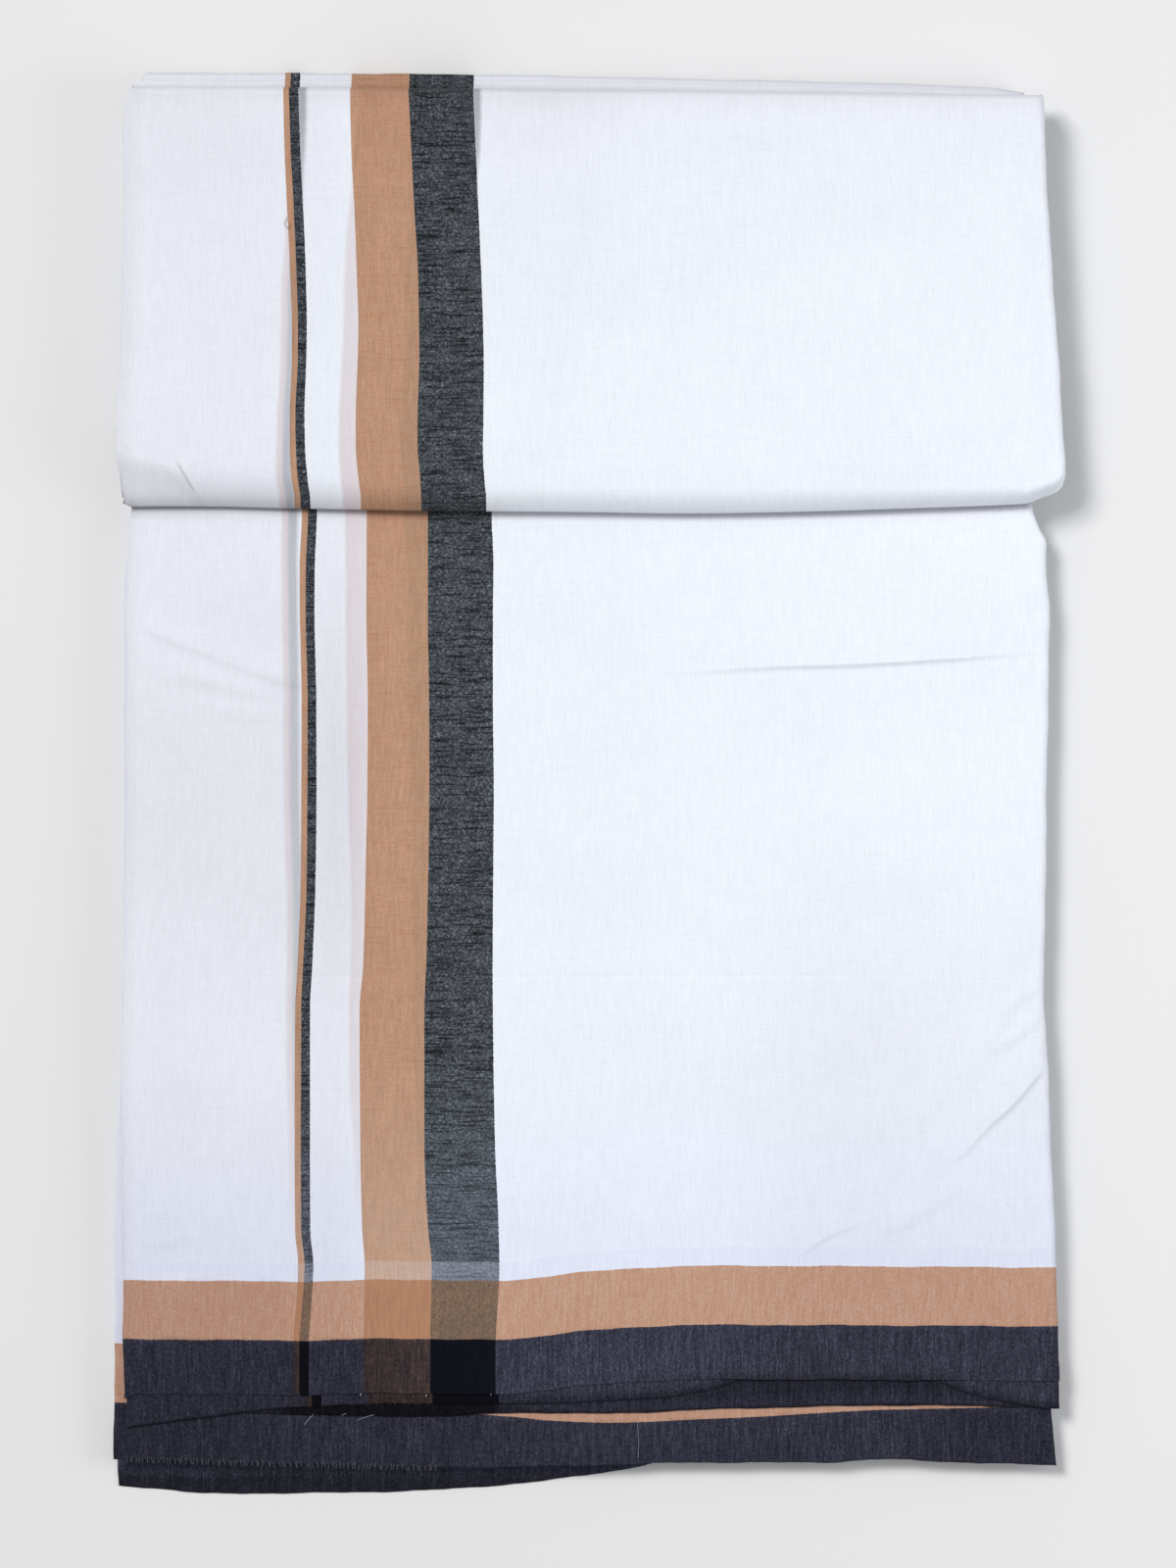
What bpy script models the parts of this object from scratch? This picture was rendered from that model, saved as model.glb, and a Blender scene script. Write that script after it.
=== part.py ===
"""A cotton dhoti, folded into a flat pile with its upper end turned down over the front.

One length of cloth makes the whole pile, so nothing is cut or sewn: each piece here is a stretch of
that length which shows, and the stretches which don't show share one solid. Cloth is an open surface
with a Solidify wall. Sizes are millimetres and become metres as each mesh is made. +X is to the right,
+Y runs up the pile towards its turned end, +Z is up, and the pile lies on Z = 0.
"""

from collections import namedtuple

import bpy
import numpy as np

MM = 0.001

# How thick things are, and how far apart they lie.
WALL = 1.0
GAP = 0.3
LOWER_BUNDLE = 6.5
FLAP_BUNDLE = 6.4

# The height of each piece's underside, from the surface up.
LOWEST_Z = 0.0
BUNDLE_Z = LOWEST_Z + WALL + GAP
FOURTH_Z = BUNDLE_Z + LOWER_BUNDLE + GAP
THIRD_Z = FOURTH_Z + WALL + GAP
SECOND_Z = THIRD_Z + WALL + GAP
PANEL_Z = SECOND_Z + WALL + GAP
FLAP_UNDER_Z = PANEL_Z + WALL + GAP
FLAP_BUNDLE_Z = FLAP_UNDER_Z + WALL + GAP
FLAP_TOP_Z = FLAP_BUNDLE_Z + FLAP_BUNDLE + GAP

# The folded edges. A roll is the soft quarter turn where a ply goes down over the pile's side.
ROLL = 2.5
ROLL_END = 0.5
BESIDE_ROLL = (4.5, 11.0)
ROLL_FADE = 16.0
FLAT_END = 2.4
NOSE_DEPTH = 9.5
CREASE_DEPTH = 3.0
NOSE_TUCK = 24.0
TOP_FOLD_DEPTH = 3.0
TOP_FOLD_LEG = 4.0

# The hidden layers: how far they stay behind the pieces that cover them.
STEM_BEHIND_CREASE = 4.2
STEM_LENGTH = 4.5
PLY_BEHIND_STEM = 0.6
COVERED_INSET = 4.3
SHOWN_INSET = 0.4
BUNDLE_BEHIND_SIDE = 2.0
BUNDLE_BEHIND_END = 4.0
STEM_BEHIND_SIDE = 7.0
GROOVE = 0.9
BUNDLE_CORNER = 5.0
FLAP_BUNDLE_INSET = 1.0
CREASE_CORNER = 3.0
NOSE_CORNER = 12.0

Side = namedtuple("Side", "y left right")
End = namedtuple("End", "x y")
Layer = namedtuple("Layer", "height left right front")
Fold = namedtuple("Fold", "x0 y0 x1 y1 height width")

# Where the side edges of each ply run, from its end up the pile.
PANEL_SIDES = (
    Side(-211.0, -158.9, 162.3),
    Side(-191.0, -159.7, 161.4),
    Side(-165.0, -159.5, 160.7),
    Side(-128.0, -159.9, 159.0),
    Side(-94.0, -160.3, 157.7),
    Side(-67.0, -159.8, 156.3),
    Side(-44.0, -159.4, 157.0),
    Side(0.0, -158.7, 157.4),
    Side(39.0, -158.7, 158.2),
    Side(54.0, -158.7, 159.0),
    Side(72.0, -158.4, 157.4),
    Side(84.0, -157.7, 155.6),
    Side(95.0, -156.6, 152.6),
    Side(240.0, -155.5, 151.5),
)
FOURTH_SIDES = (
    Side(-234.0, -163.1, 160.9),
    Side(-214.0, -162.9, 159.2),
    Side(-193.0, -162.6, 159.6),
    Side(-168.0, -162.9, 159.3),
    Side(-122.0, -162.2, 157.6),
    Side(-105.0, -161.2, 157.0),
    Side(-94.0, -160.5, 156.6),
    Side(-67.0, -159.9, 155.5),
    Side(54.0, -159.9, 157.2),
    Side(65.0, -160.2, 156.4),
    Side(84.0, -157.8, 154.0),
    Side(95.0, -156.4, 151.5),
    Side(240.0, -155.0, 151.0),
)
LOWEST_SIDES = (
    Side(-242.0, -161.6, 157.0),
    Side(-233.0, -162.1, 157.0),
    Side(-200.0, -160.5, 157.0),
    Side(90.0, -156.0, 152.5),
    Side(244.0, -152.5, 150.0),
)
FLAP_SIDES = (
    Side(92.0, -158.6, 159.0),
    Side(98.0, -159.2, 162.0),
    Side(104.0, -159.7, 162.9),
    Side(110.5, -161.2, 163.1),
    Side(121.0, -161.7, 162.4),
    Side(141.0, -160.3, 161.2),
    Side(195.0, -159.0, 157.5),
    Side(222.0, -159.0, 156.2),
    Side(231.0, -158.3, 155.9),
    Side(239.0, -156.1, 155.5),
)

# Where each ply ends, from left to right.
PANEL_END = (
    End(-159.0, -211.2),
    End(-154.6, -209.3),
    End(-97.0, -209.7),
    End(-67.0, -209.0),
    End(-32.0, -209.5),
    End(0.0, -206.3),
    End(40.0, -204.3),
    End(119.0, -204.6),
    End(162.0, -204.9),
)
SECOND_END = (
    End(-158.7, -220.9),
    End(-129.0, -216.2),
    End(-101.0, -213.8),
    End(-32.0, -212.1),
    End(20.0, -211.1),
    End(38.0, -208.8),
    End(60.0, -203.5),
    End(110.0, -203.5),
    End(119.0, -205.1),
    End(135.0, -210.5),
    End(158.0, -214.4),
)
THIRD_END = (
    End(-159.0, -215.3),
    End(-110.0, -215.3),
    End(-67.0, -216.6),
    End(-33.6, -216.6),
    End(0.0, -215.3),
    End(34.0, -213.9),
    End(111.0, -213.4),
    End(159.0, -214.3),
)
FOURTH_END = (
    End(-163.1, -231.9),
    End(-101.0, -233.7),
    End(-50.5, -234.9),
    End(13.5, -233.9),
    End(34.0, -233.2),
    End(81.0, -233.2),
    End(101.0, -232.1),
    End(124.0, -233.0),
    End(161.0, -234.2),
)
LOWEST_END = (
    End(-161.6, -241.8),
    End(-148.0, -242.8),
    End(-130.0, -244.5),
    End(-81.0, -244.1),
    End(-49.0, -243.0),
    End(-25.0, -241.1),
    End(0.0, -238.1),
    End(13.5, -236.0),
    End(34.0, -231.3),
    End(70.0, -226.0),
    End(157.0, -224.0),
)

# The flap's two folded edges, and the two fold edges which lie just above it.
NOSE = (
    End(-159.5, 98.5),
    End(-156.5, 95.2),
    End(-100.0, 94.3),
    End(-33.0, 93.6),
    End(33.0, 92.6),
    End(87.0, 93.3),
    End(152.0, 95.8),
    End(159.0, 98.3),
    End(162.5, 103.0),
)
CREASE = (
    End(-156.0, 238.5),
    End(-40.0, 237.9),
    End(54.0, 236.9),
    End(155.5, 235.2),
)
OUTER_FOLD = (
    End(-153.9, 241.2),
    End(-151.8, 244.5),
    End(-40.0, 243.9),
    End(34.0, 242.4),
    End(88.0, 241.2),
    End(135.0, 239.6),
    End(150.0, 237.6),
)
INNER_FOLD = (
    End(-154.8, 240.6),
    End(-152.8, 241.6),
    End(-40.0, 241.6),
    End(54.0, 240.1),
    End(135.0, 238.2),
    End(151.0, 236.4),
)

# The folded edges of the hidden layers: each one's height, and how far it steps back.
LOWER_LAYERS = (
    Layer(1.8, 1.1, 0.2, 1.4),
    Layer(1.5, 0.2, 0.8, 0.2),
    Layer(1.7, 0.7, 0.0, 0.9),
    Layer(1.5, 0.0, 0.5, 0.3),
)
FLAP_LAYERS = (
    Layer(1.9, 0.3, 0.0, 0.0),
    Layer(1.6, 0.0, 0.4, 0.0),
)

# The front panel's long crease: the cloth above it lies a little higher and steps down along it.
LONG_CREASE = (
    End(-160.0, 31.0),
    End(-60.0, 33.0),
    End(34.0, 37.0),
    End(64.0, 39.5),
    End(91.0, 40.3),
    End(128.0, 42.7),
    End(160.0, 46.0),
)
LONG_CREASE_STEP = 0.7
LONG_CREASE_FROM = 0.0
LONG_CREASE_FADE = 40.0
LONG_CREASE_GAP = 1.5

# Soft ridges (height above 0) and troughs, each along a straight line, fading out over its width.
PANEL_FOLDS = (
    Fold(72.0, -164.0, 111.0, -143.0, 0.7, 9.0),
    Fold(111.0, -143.0, 152.0, -103.0, 0.9, 9.0),
    Fold(22.0, -78.0, 43.0, -130.0, -0.7, 13.0),
    Fold(86.0, -94.0, 98.0, -118.0, -0.4, 11.0),
    Fold(-150.0, 49.0, -106.0, 33.0, 0.6, 9.0),
    Fold(-140.0, -98.0, -128.0, -150.0, -0.5, 12.0),
)
PANEL_SWELL = 0.7
FLAP_FOLDS = (
    Fold(8.0, 215.0, 0.0, 118.0, -0.6, 12.0),
    Fold(61.0, 221.0, 60.0, 196.0, -0.4, 10.0),
    Fold(-26.0, 135.0, -20.0, 108.0, 0.4, 10.0),
    Fold(-142.0, 112.0, -150.0, 104.0, -0.8, 9.0),
)
FLAP_SWELL = 0.9
SWELL_FADE = 25.0

WHITE = (0.80, 0.82, 0.88)
SHADED_WHITE = (0.66, 0.70, 0.78)
BORDER_BLACK = (0.035, 0.04, 0.055)
BORDER_NAVY = (0.014, 0.016, 0.028)


def column(table, name):
    return [getattr(row, name) for row in table]


def left_of(sides, y):
    return np.interp(y, column(sides, "y"), column(sides, "left"))


def right_of(sides, y):
    return np.interp(y, column(sides, "y"), column(sides, "right"))


def line_at(table, x):
    return np.interp(x, column(table, "x"), column(table, "y"))


def smooth(value):
    """0 up to 0, 1 from 1, and a soft S between."""
    t = np.clip(value, 0.0, 1.0)
    return t * t * (3.0 - 2.0 * t)


def material(name, colour):
    made = bpy.data.materials.new(name)
    made.use_nodes = True
    shader = made.node_tree.nodes["Principled BSDF"]
    shader.inputs["Base Color"].default_value = (*colour, 1.0)
    shader.inputs["Roughness"].default_value = 0.9
    shader.inputs["Metallic"].default_value = 0.0
    return made


def add_object(name, points, faces, colour):
    mesh = bpy.data.meshes.new(name)
    mesh.from_pydata((points * MM).tolist(), [], faces)
    mesh.update()
    mesh.materials.append(material(name + "_cloth", colour))
    made = bpy.data.objects.new(name, mesh)
    PILE.objects.link(made)
    return made


def grid_faces(rows, columns):
    """Quads between neighbouring points of a grid, stored row after row."""
    corner = np.arange(rows - 1)[:, None] * columns + np.arange(columns - 1)
    corner = corner.ravel()
    return np.stack([corner, corner + 1, corner + columns + 1, corner + columns], axis=1).tolist()


def add_cloth(name, x, y, z, colour):
    """A sheet whose middle surface is the grid x, y, z, with half its wall on each side."""
    points = np.stack([x, y, z], axis=2).reshape(-1, 3)
    made = add_object(name, points, grid_faces(*x.shape), colour)
    made.data.shade_smooth()
    wall = made.modifiers.new("Wall", "SOLIDIFY")
    wall.thickness = WALL * MM
    wall.offset = 0.0
    return made


def stations_across(flat_count, turn_count):
    """Columns of a sheet with a roll down each side.

    Gives for each column the share of the width it stands at, its shift in millimetres, and how far
    it has dropped. A roll is a quarter circle with a short straight end below it.
    """
    turn = np.linspace(0.0, np.pi / 2, turn_count + 1)
    shift = WALL / 2 + ROLL * (1.0 - np.cos(turn))
    drop = ROLL * (1.0 - np.sin(turn))
    shift = np.concatenate([shift[:1], shift, shift[-1] + np.array(BESIDE_ROLL)])
    drop = np.concatenate([drop[:1] + ROLL_END, drop, 0.0 * np.array(BESIDE_ROLL)])
    share = np.linspace(0.0, 1.0, flat_count + 1)[1:-1]
    middle = (WALL / 2 + ROLL) * (1.0 - 2.0 * share)
    side = np.zeros_like(shift)
    return (
        np.concatenate([side, share, side + 1.0]),
        np.concatenate([shift, middle, -shift[::-1]]),
        np.concatenate([drop, np.zeros_like(share), drop[::-1]]),
    )


def spread(sides, back, end, share, shift, along):
    """x and y of a sheet: rows run from the line back to the line end, columns from side to side."""
    y = np.full((len(along), len(share)), 0.0)
    x = np.zeros_like(y)
    for _ in range(3):
        x = left_of(sides, y) * (1.0 - share) + right_of(sides, y) * share + shift
        y = back(x) + (end(x) - back(x)) * along[:, None]
    return x, y


def ply_back(x):
    """The line under the flap where the plies of the panel meet the stem of the hidden layers."""
    return line_at(CREASE, x) - STEM_BEHIND_CREASE - STEM_LENGTH - PLY_BEHIND_STEM


def folds_at(folds, x, y):
    """The height that the ridges and troughs of a table add at each point."""
    total = 0.0 * x
    for fold in folds:
        run_x, run_y = fold.x1 - fold.x0, fold.y1 - fold.y0
        share = ((x - fold.x0) * run_x + (y - fold.y0) * run_y) / (run_x**2 + run_y**2)
        share = np.clip(share, 0.0, 1.0)
        away = np.hypot(x - fold.x0 - share * run_x, y - fold.y0 - share * run_y)
        total += fold.height * np.exp(-((away / fold.width) ** 2))
    return total


def free_of_edges(sides, x, y):
    """0 on a ply's rolled side edges, and 1 from a little inside them."""
    to_side = np.minimum(x - left_of(sides, y), right_of(sides, y) - x)
    return smooth((to_side - ROLL - WALL) / 12.0)


def panel_lift(x, y):
    """How far the front panel stands off the ply below it: a slow swell, its creases and folds."""
    swell = PANEL_SWELL * (0.55 + 0.45 * np.sin(x / 31.0 + 0.6) * np.cos(y / 47.0))
    above = y - line_at(LONG_CREASE, x)
    step = LONG_CREASE_STEP * smooth((x - LONG_CREASE_FROM) / 30.0)
    step = step * smooth(above / (2.0 * LONG_CREASE_GAP) + 0.5) * (1.0 - smooth(above / LONG_CREASE_FADE))
    free = free_of_edges(PANEL_SIDES, x, y)
    free = free * smooth((line_at(NOSE, x) - y) / SWELL_FADE)
    free = free * smooth((y - line_at(PANEL_END, x)) / SWELL_FADE)
    return free * np.maximum(swell + step + folds_at(PANEL_FOLDS, x, y), 0.0)


def flap_lift(x, y):
    """How far the flap's top stands off the hidden layers in it."""
    swell = FLAP_SWELL * (0.75 + 0.25 * np.cos(x / 43.0) * np.sin(y / 29.0))
    from_nose = smooth((y - line_at(NOSE, x)) / (2.0 * NOSE_DEPTH))
    from_crease = smooth((line_at(CREASE, x) - y) / (2.0 * NOSE_DEPTH))
    free = free_of_edges(FLAP_SIDES, x, y) * from_nose * from_crease
    return free * np.maximum(swell + folds_at(FLAP_FOLDS, x, y), 0.0)


def front_panel():
    """The top ply below the flap, with rows of points along both sides of its long crease."""
    share, shift, drop = stations_across(flat_count=20, turn_count=3)

    def above_crease(x):
        return line_at(LONG_CREASE, x) + LONG_CREASE_GAP

    def below_crease(x):
        return line_at(LONG_CREASE, x) - LONG_CREASE_GAP

    def end(x):
        return line_at(PANEL_END, x)

    high = spread(PANEL_SIDES, ply_back, above_crease, share, shift, np.linspace(0.0, 1.0, 13))
    low = spread(PANEL_SIDES, below_crease, end, share, shift, np.linspace(0.0, 1.0, 21))
    x = np.concatenate([high[0], low[0]])
    y = np.concatenate([high[1], low[1]])
    rolled = smooth((y - line_at(PANEL_END, x) - FLAT_END) / ROLL_FADE)
    z = PANEL_Z + WALL / 2 - drop * rolled + panel_lift(x, y)
    add_cloth("front_panel", x, y, z, WHITE)


def covered_ply(name, z, end_table, colour):
    """A flat ply under the front panel: clear of the panel's rolls, and as wide as the panel past its end."""
    share = np.linspace(0.0, 1.0, 13)

    def end(x):
        return line_at(end_table, x)

    def wide(x):
        return np.maximum(line_at(PANEL_END, x), end(x) + 0.6)

    def narrow(x):
        return wide(x) + FLAT_END

    hidden = spread(PANEL_SIDES, ply_back, narrow, share, 0.0, np.linspace(0.0, 1.0, 11))
    shown = spread(PANEL_SIDES, wide, end, share, 0.0, np.linspace(0.0, 1.0, 3))
    inward = 1.0 - 2.0 * share
    x = np.concatenate([hidden[0] + COVERED_INSET * inward, shown[0] + SHOWN_INSET * inward])
    y = np.concatenate([hidden[1], shown[1]])
    add_cloth(name, x, y, np.full_like(x, z + WALL / 2), colour)


def fourth_ply():
    """The ply whose end border and left edge show past the panel. It bends down a little at its end."""
    share = np.linspace(0.0, 1.0, 13)
    along = np.concatenate([np.linspace(0.0, 0.94, 12), [0.97, 0.985, 1.0]])
    x, y = spread(FOURTH_SIDES, ply_back, lambda x: line_at(FOURTH_END, x), share, 0.0, along)
    past = BUNDLE_BEHIND_END - (y - line_at(FOURTH_END, x))
    z = FOURTH_Z + WALL / 2 - 0.8 * smooth(past / BUNDLE_BEHIND_END)
    add_cloth("fourth_ply", x, y, z, BORDER_BLACK)


def lowest_ply():
    """The ply that lies on the surface, all under the pile."""
    share = np.linspace(0.0, 1.0, 15)
    along = np.linspace(0.0, 1.0, 9)

    def back(x):
        return line_at(OUTER_FOLD, x) - 2.0

    x, y = spread(LOWEST_SIDES, back, lambda x: line_at(LOWEST_END, x), share, 0.0, along)
    add_cloth("lowest_ply", x, y, np.full_like(x, LOWEST_Z + WALL / 2), BORDER_NAVY)


def top_fold(name, table, z, height):
    """A folded edge above the flap: half an ellipse with a leg above and a leg below."""
    turn = np.linspace(-np.pi / 2, np.pi / 2, 8)
    deep = TOP_FOLD_DEPTH - WALL / 2
    inward = np.concatenate([[TOP_FOLD_LEG], TOP_FOLD_DEPTH - deep * np.cos(turn), [TOP_FOLD_LEG]])
    rise = (height - WALL) / 2 * np.concatenate([[-1.0], np.sin(turn), [1.0]])
    xs = np.array(column(table, "x"))
    xs = np.sort(np.concatenate([xs, (xs[1:] + xs[:-1]) / 2]))
    x = np.tile(xs, (len(inward), 1))
    y = line_at(table, x) - inward[:, None]
    z = np.tile((z + height / 2 + rise)[:, None], (1, len(xs)))
    add_cloth(name, x, y, z, SHADED_WHITE)


def flap():
    """The ply round the turned end: up over its crease, down to its nose, and back under it."""
    share, shift, drop = stations_across(flat_count=12, turn_count=3)
    top = FLAP_TOP_Z + WALL / 2
    foot = FOURTH_Z + WALL / 2
    crease_middle, crease_half = (top + foot) / 2, (top - foot) / 2
    under = FLAP_UNDER_Z + WALL / 2
    nose_middle, nose_half = (top + under) / 2, (top - under) / 2

    bend = np.radians([-78, -60, -38, -15, 8, 30, 50, 70])
    level = np.linspace(0.0, 1.0, 11)
    turn = np.radians([72, 54, 38, 22, 8, -8, -24, -42, -62, -90])
    deep_crease = CREASE_DEPTH - WALL / 2
    deep_nose = NOSE_DEPTH - WALL / 2

    def rows(lengthwise_share, inward, middle, half, angle):
        return [
            np.broadcast_to(value, lengthwise_share.shape)
            for value in (lengthwise_share, inward, middle, half, angle)
        ]

    parts = [
        rows(np.zeros(len(bend)), CREASE_DEPTH - deep_crease * np.cos(bend), crease_middle, crease_half, bend),
        rows(level, CREASE_DEPTH * (1 - level) - NOSE_DEPTH * level, nose_middle, nose_half, np.pi / 2),
        rows(np.ones(len(turn)), -NOSE_DEPTH + deep_nose * np.cos(turn), nose_middle, nose_half, turn),
        rows(np.ones(2), -NOSE_DEPTH - NOSE_TUCK * np.array([0.4, 1.0]), nose_middle, nose_half, -np.pi / 2),
    ]
    along, inward, middle, half, angle = (np.concatenate(values)[:, None] for values in zip(*parts))

    x = np.zeros((len(along), len(share)))
    y = x + line_at(CREASE, 0.0) * (1 - along) + line_at(NOSE, 0.0) * along
    for _ in range(3):
        x = left_of(FLAP_SIDES, y) * (1.0 - share) + right_of(FLAP_SIDES, y) * share + shift
        y = line_at(CREASE, x) * (1.0 - along) + line_at(NOSE, x) * along - inward
    rise = np.sin(angle)
    z = middle + half * rise - drop * np.maximum(rise, 0.0) + flap_lift(x, y) * (rise == 1.0)
    add_cloth("flap", x, y, z, WHITE)


def ring(z, left, right, back, front, back_corner, front_corner):
    """Points round one level of the hidden layers.

    They are the points of a smaller outline, each moved out by the corner radius, so that the
    corners come out round. left and right are functions of y, back and front are functions of x.
    """
    across = np.linspace(0.0, 1.0, 15)
    down = np.linspace(0.0, 1.0, 13)
    turn = np.radians([30.0, 60.0])
    spots = []
    for share, along, start in (
        (across, 0.0 * across, 90.0),
        (1.0 + 0.0 * down, down, 0.0),
        (across[::-1], 1.0 + 0.0 * across, -90.0),
        (0.0 * down, down[::-1], -180.0),
    ):
        facing = np.full(len(share), np.radians(start))
        spots.append(np.stack([share, along, facing]))
        last = np.stack([share[-1] + 0.0 * turn, along[-1] + 0.0 * turn, np.radians(start) - turn])
        spots.append(last)
    share, along, facing = np.concatenate(spots, axis=1)
    corner = back_corner * (1.0 - along) + front_corner * along
    y = back(0.0) + (front(0.0) - back(0.0)) * along
    x = 0.0 * y
    for _ in range(3):
        x = (left(y) + corner) * (1.0 - share) + (right(y) - corner) * share
        y = (back(x) - corner) * (1.0 - along) + (front(x) + corner) * along
    return np.stack([x + corner * np.cos(facing), y + corner * np.sin(facing), np.full_like(x, z)], axis=1)


def lower_rings():
    """The bundle under the plies, with a groove between each folded layer and the next."""
    rings = []
    z = BUNDLE_Z
    for layer in LOWER_LAYERS:
        for rise, back_off in ((0.0, GROOVE), (0.25, 0.0), (0.75, 0.0), (1.0, GROOVE)):
            if rise == 0.0 and rings:
                continue

            def left(y, off=back_off + layer.left):
                return left_of(FOURTH_SIDES, y) + BUNDLE_BEHIND_SIDE + off

            def right(y, off=back_off + layer.right):
                return right_of(FOURTH_SIDES, y) - BUNDLE_BEHIND_SIDE - off

            def back(x):
                inner = np.minimum(line_at(INNER_FOLD, x), line_at(OUTER_FOLD, x))
                return inner - TOP_FOLD_LEG - WALL / 2 - GAP

            def front(x, off=back_off + layer.front):
                return line_at(FOURTH_END, x) + BUNDLE_BEHIND_END + off

            level = z + rise * layer.height
            rings.append(ring(level, left, right, back, front, BUNDLE_CORNER, BUNDLE_CORNER))
        z += layer.height
    return rings


def stem_rings():
    """The narrow neck where the layers turn up into the flap."""

    def left(y):
        return left_of(FLAP_SIDES, y) + STEM_BEHIND_SIDE

    def right(y):
        return right_of(FLAP_SIDES, y) - STEM_BEHIND_SIDE

    def back(x):
        return line_at(CREASE, x) - STEM_BEHIND_CREASE

    def front(x):
        return back(x) - STEM_LENGTH

    foot = BUNDLE_Z + LOWER_BUNDLE
    return [ring(z, left, right, back, front, 1.0, 1.0) for z in (foot, FLAP_BUNDLE_Z)]


def flap_rings():
    """The bundle inside the flap: layered sides, a rounded nose, and shoulders under the rolls."""
    shoulder = FLAP_BUNDLE - sum(column(FLAP_LAYERS, "height"))
    levels = []
    rise = 0.0
    for layer in FLAP_LAYERS:
        for share, back_off in ((0.0, GROOVE), (0.25, 0.0), (0.75, 0.0), (1.0, GROOVE)):
            if share == 0.0 and levels:
                continue
            levels.append((rise + share * layer.height, back_off + layer.left, back_off + layer.right))
        rise += layer.height
    for share, back_off in ((0.35, 1.1), (0.7, 1.5), (1.0, 2.1)):
        levels.append((rise + share * shoulder, back_off, back_off))

    rings = []
    deep = NOSE_DEPTH - WALL - 1.5 * GAP
    for rise, left_off, right_off in levels:
        from_middle = 2.0 * rise / FLAP_BUNDLE - 1.0
        nose_off = NOSE_DEPTH - deep * np.sqrt(max(0.0, 1.0 - from_middle**2))

        def left(y, off=left_off):
            return left_of(FLAP_SIDES, y) + FLAP_BUNDLE_INSET + off

        def right(y, off=right_off):
            return right_of(FLAP_SIDES, y) - FLAP_BUNDLE_INSET - off

        def back(x):
            return line_at(CREASE, x) - STEM_BEHIND_CREASE

        def front(x, off=nose_off):
            return line_at(NOSE, x) + off

        level = FLAP_BUNDLE_Z + rise
        rings.append(ring(level, left, right, back, front, CREASE_CORNER, NOSE_CORNER))
    return rings


def hidden_layers():
    """All the layers that don't show, as one solid: rings joined level after level."""
    rings = lower_rings() + stem_rings() + flap_rings()
    count = len(rings[0])
    faces = []
    here = np.arange(count)
    after = (here + 1) % count
    for level in range(len(rings) - 1):
        low, high = level * count, (level + 1) * count
        faces += np.stack([here + low, here + high, after + high, after + low], axis=1).tolist()
    faces.append(here.tolist())
    faces.append((here[::-1] + (len(rings) - 1) * count).tolist())
    add_object("hidden_layers", np.concatenate(rings), faces, SHADED_WHITE)


def clear_scene():
    for old in list(bpy.data.objects):
        bpy.data.objects.remove(old, do_unlink=True)


clear_scene()
PILE = bpy.data.collections.new("folded_dhoti")
bpy.context.scene.collection.children.link(PILE)
lowest_ply()
hidden_layers()
fourth_ply()
covered_ply("third_ply", THIRD_Z, THIRD_END, BORDER_BLACK)
covered_ply("second_ply", SECOND_Z, SECOND_END, BORDER_BLACK)
front_panel()
flap()
half_bundle = (LOWER_BUNDLE - GAP) / 2
top_fold("top_fold_outer", OUTER_FOLD, BUNDLE_Z, half_bundle)
top_fold("top_fold_inner", INNER_FOLD, BUNDLE_Z + half_bundle + GAP, half_bundle)
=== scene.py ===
"""The looks of a cotton dhoti, folded into a flat pile with its upper end turned down over the front.

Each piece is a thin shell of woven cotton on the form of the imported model's solid. Its shape is a grid
worked out as whole arrays, and its UV map holds the threads: U is how far a point lies from the left
edge of the stripes, and V how far from the cut end of the cloth, both in metres along the cloth.
Lengths are written in millimetres and become metres as each mesh is made. +X is to the right, +Y runs
up the pile to its turned end, and the pile lies on Z = 0.
"""

from collections import namedtuple
from functools import partial

import bmesh
import bpy
import numpy as np
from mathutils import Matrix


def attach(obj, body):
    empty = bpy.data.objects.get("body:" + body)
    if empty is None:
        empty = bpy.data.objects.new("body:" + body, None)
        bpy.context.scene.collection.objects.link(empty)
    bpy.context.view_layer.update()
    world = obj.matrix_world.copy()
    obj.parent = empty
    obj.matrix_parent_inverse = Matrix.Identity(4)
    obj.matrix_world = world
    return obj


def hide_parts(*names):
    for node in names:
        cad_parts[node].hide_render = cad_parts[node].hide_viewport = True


bl_info = {
    "name": "Folded striped dhoti",
    "version": (1, 0, 0),
    "blender": (4, 5, 0),
    "location": "3D View > Sidebar > Dhoti",
    "description": "Lays out a folded cotton dhoti with woven stripes and end borders",
    "category": "Object",
}

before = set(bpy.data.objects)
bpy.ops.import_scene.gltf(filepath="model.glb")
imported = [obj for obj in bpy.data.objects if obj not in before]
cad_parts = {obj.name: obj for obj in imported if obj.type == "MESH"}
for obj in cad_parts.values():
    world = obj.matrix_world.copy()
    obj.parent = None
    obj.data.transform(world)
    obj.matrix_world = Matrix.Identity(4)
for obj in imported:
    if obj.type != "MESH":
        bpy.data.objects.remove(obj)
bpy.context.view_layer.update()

MM = 0.001

# Rows of the tables that follow.
Side = namedtuple("Side", "y left right")
End = namedtuple("End", "x y")
Stripes = namedtuple("Stripes", "y thin_brown thin_black gap wide_brown wide_black white")
Below = namedtuple("Below", "y thin wide strength")
Crease = namedtuple("Crease", "points height steep gentle start stop", defaults=(0.28, 0.28))
Span = namedtuple("Span", "start stop step")
Rows = namedtuple("Rows", "count fine_first fine_last")
Shade = namedtuple("Shade", "most across up from_end", defaults=(None, None, None))
Ticks = namedtuple("Ticks", "line start stop pitch length above z yarn seed")
Loose = namedtuple("Loose", "points radius yarn")


def table(kind, *rows):
    """A table of rows, all of one kind."""
    return tuple(kind(*row) for row in rows)


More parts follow.
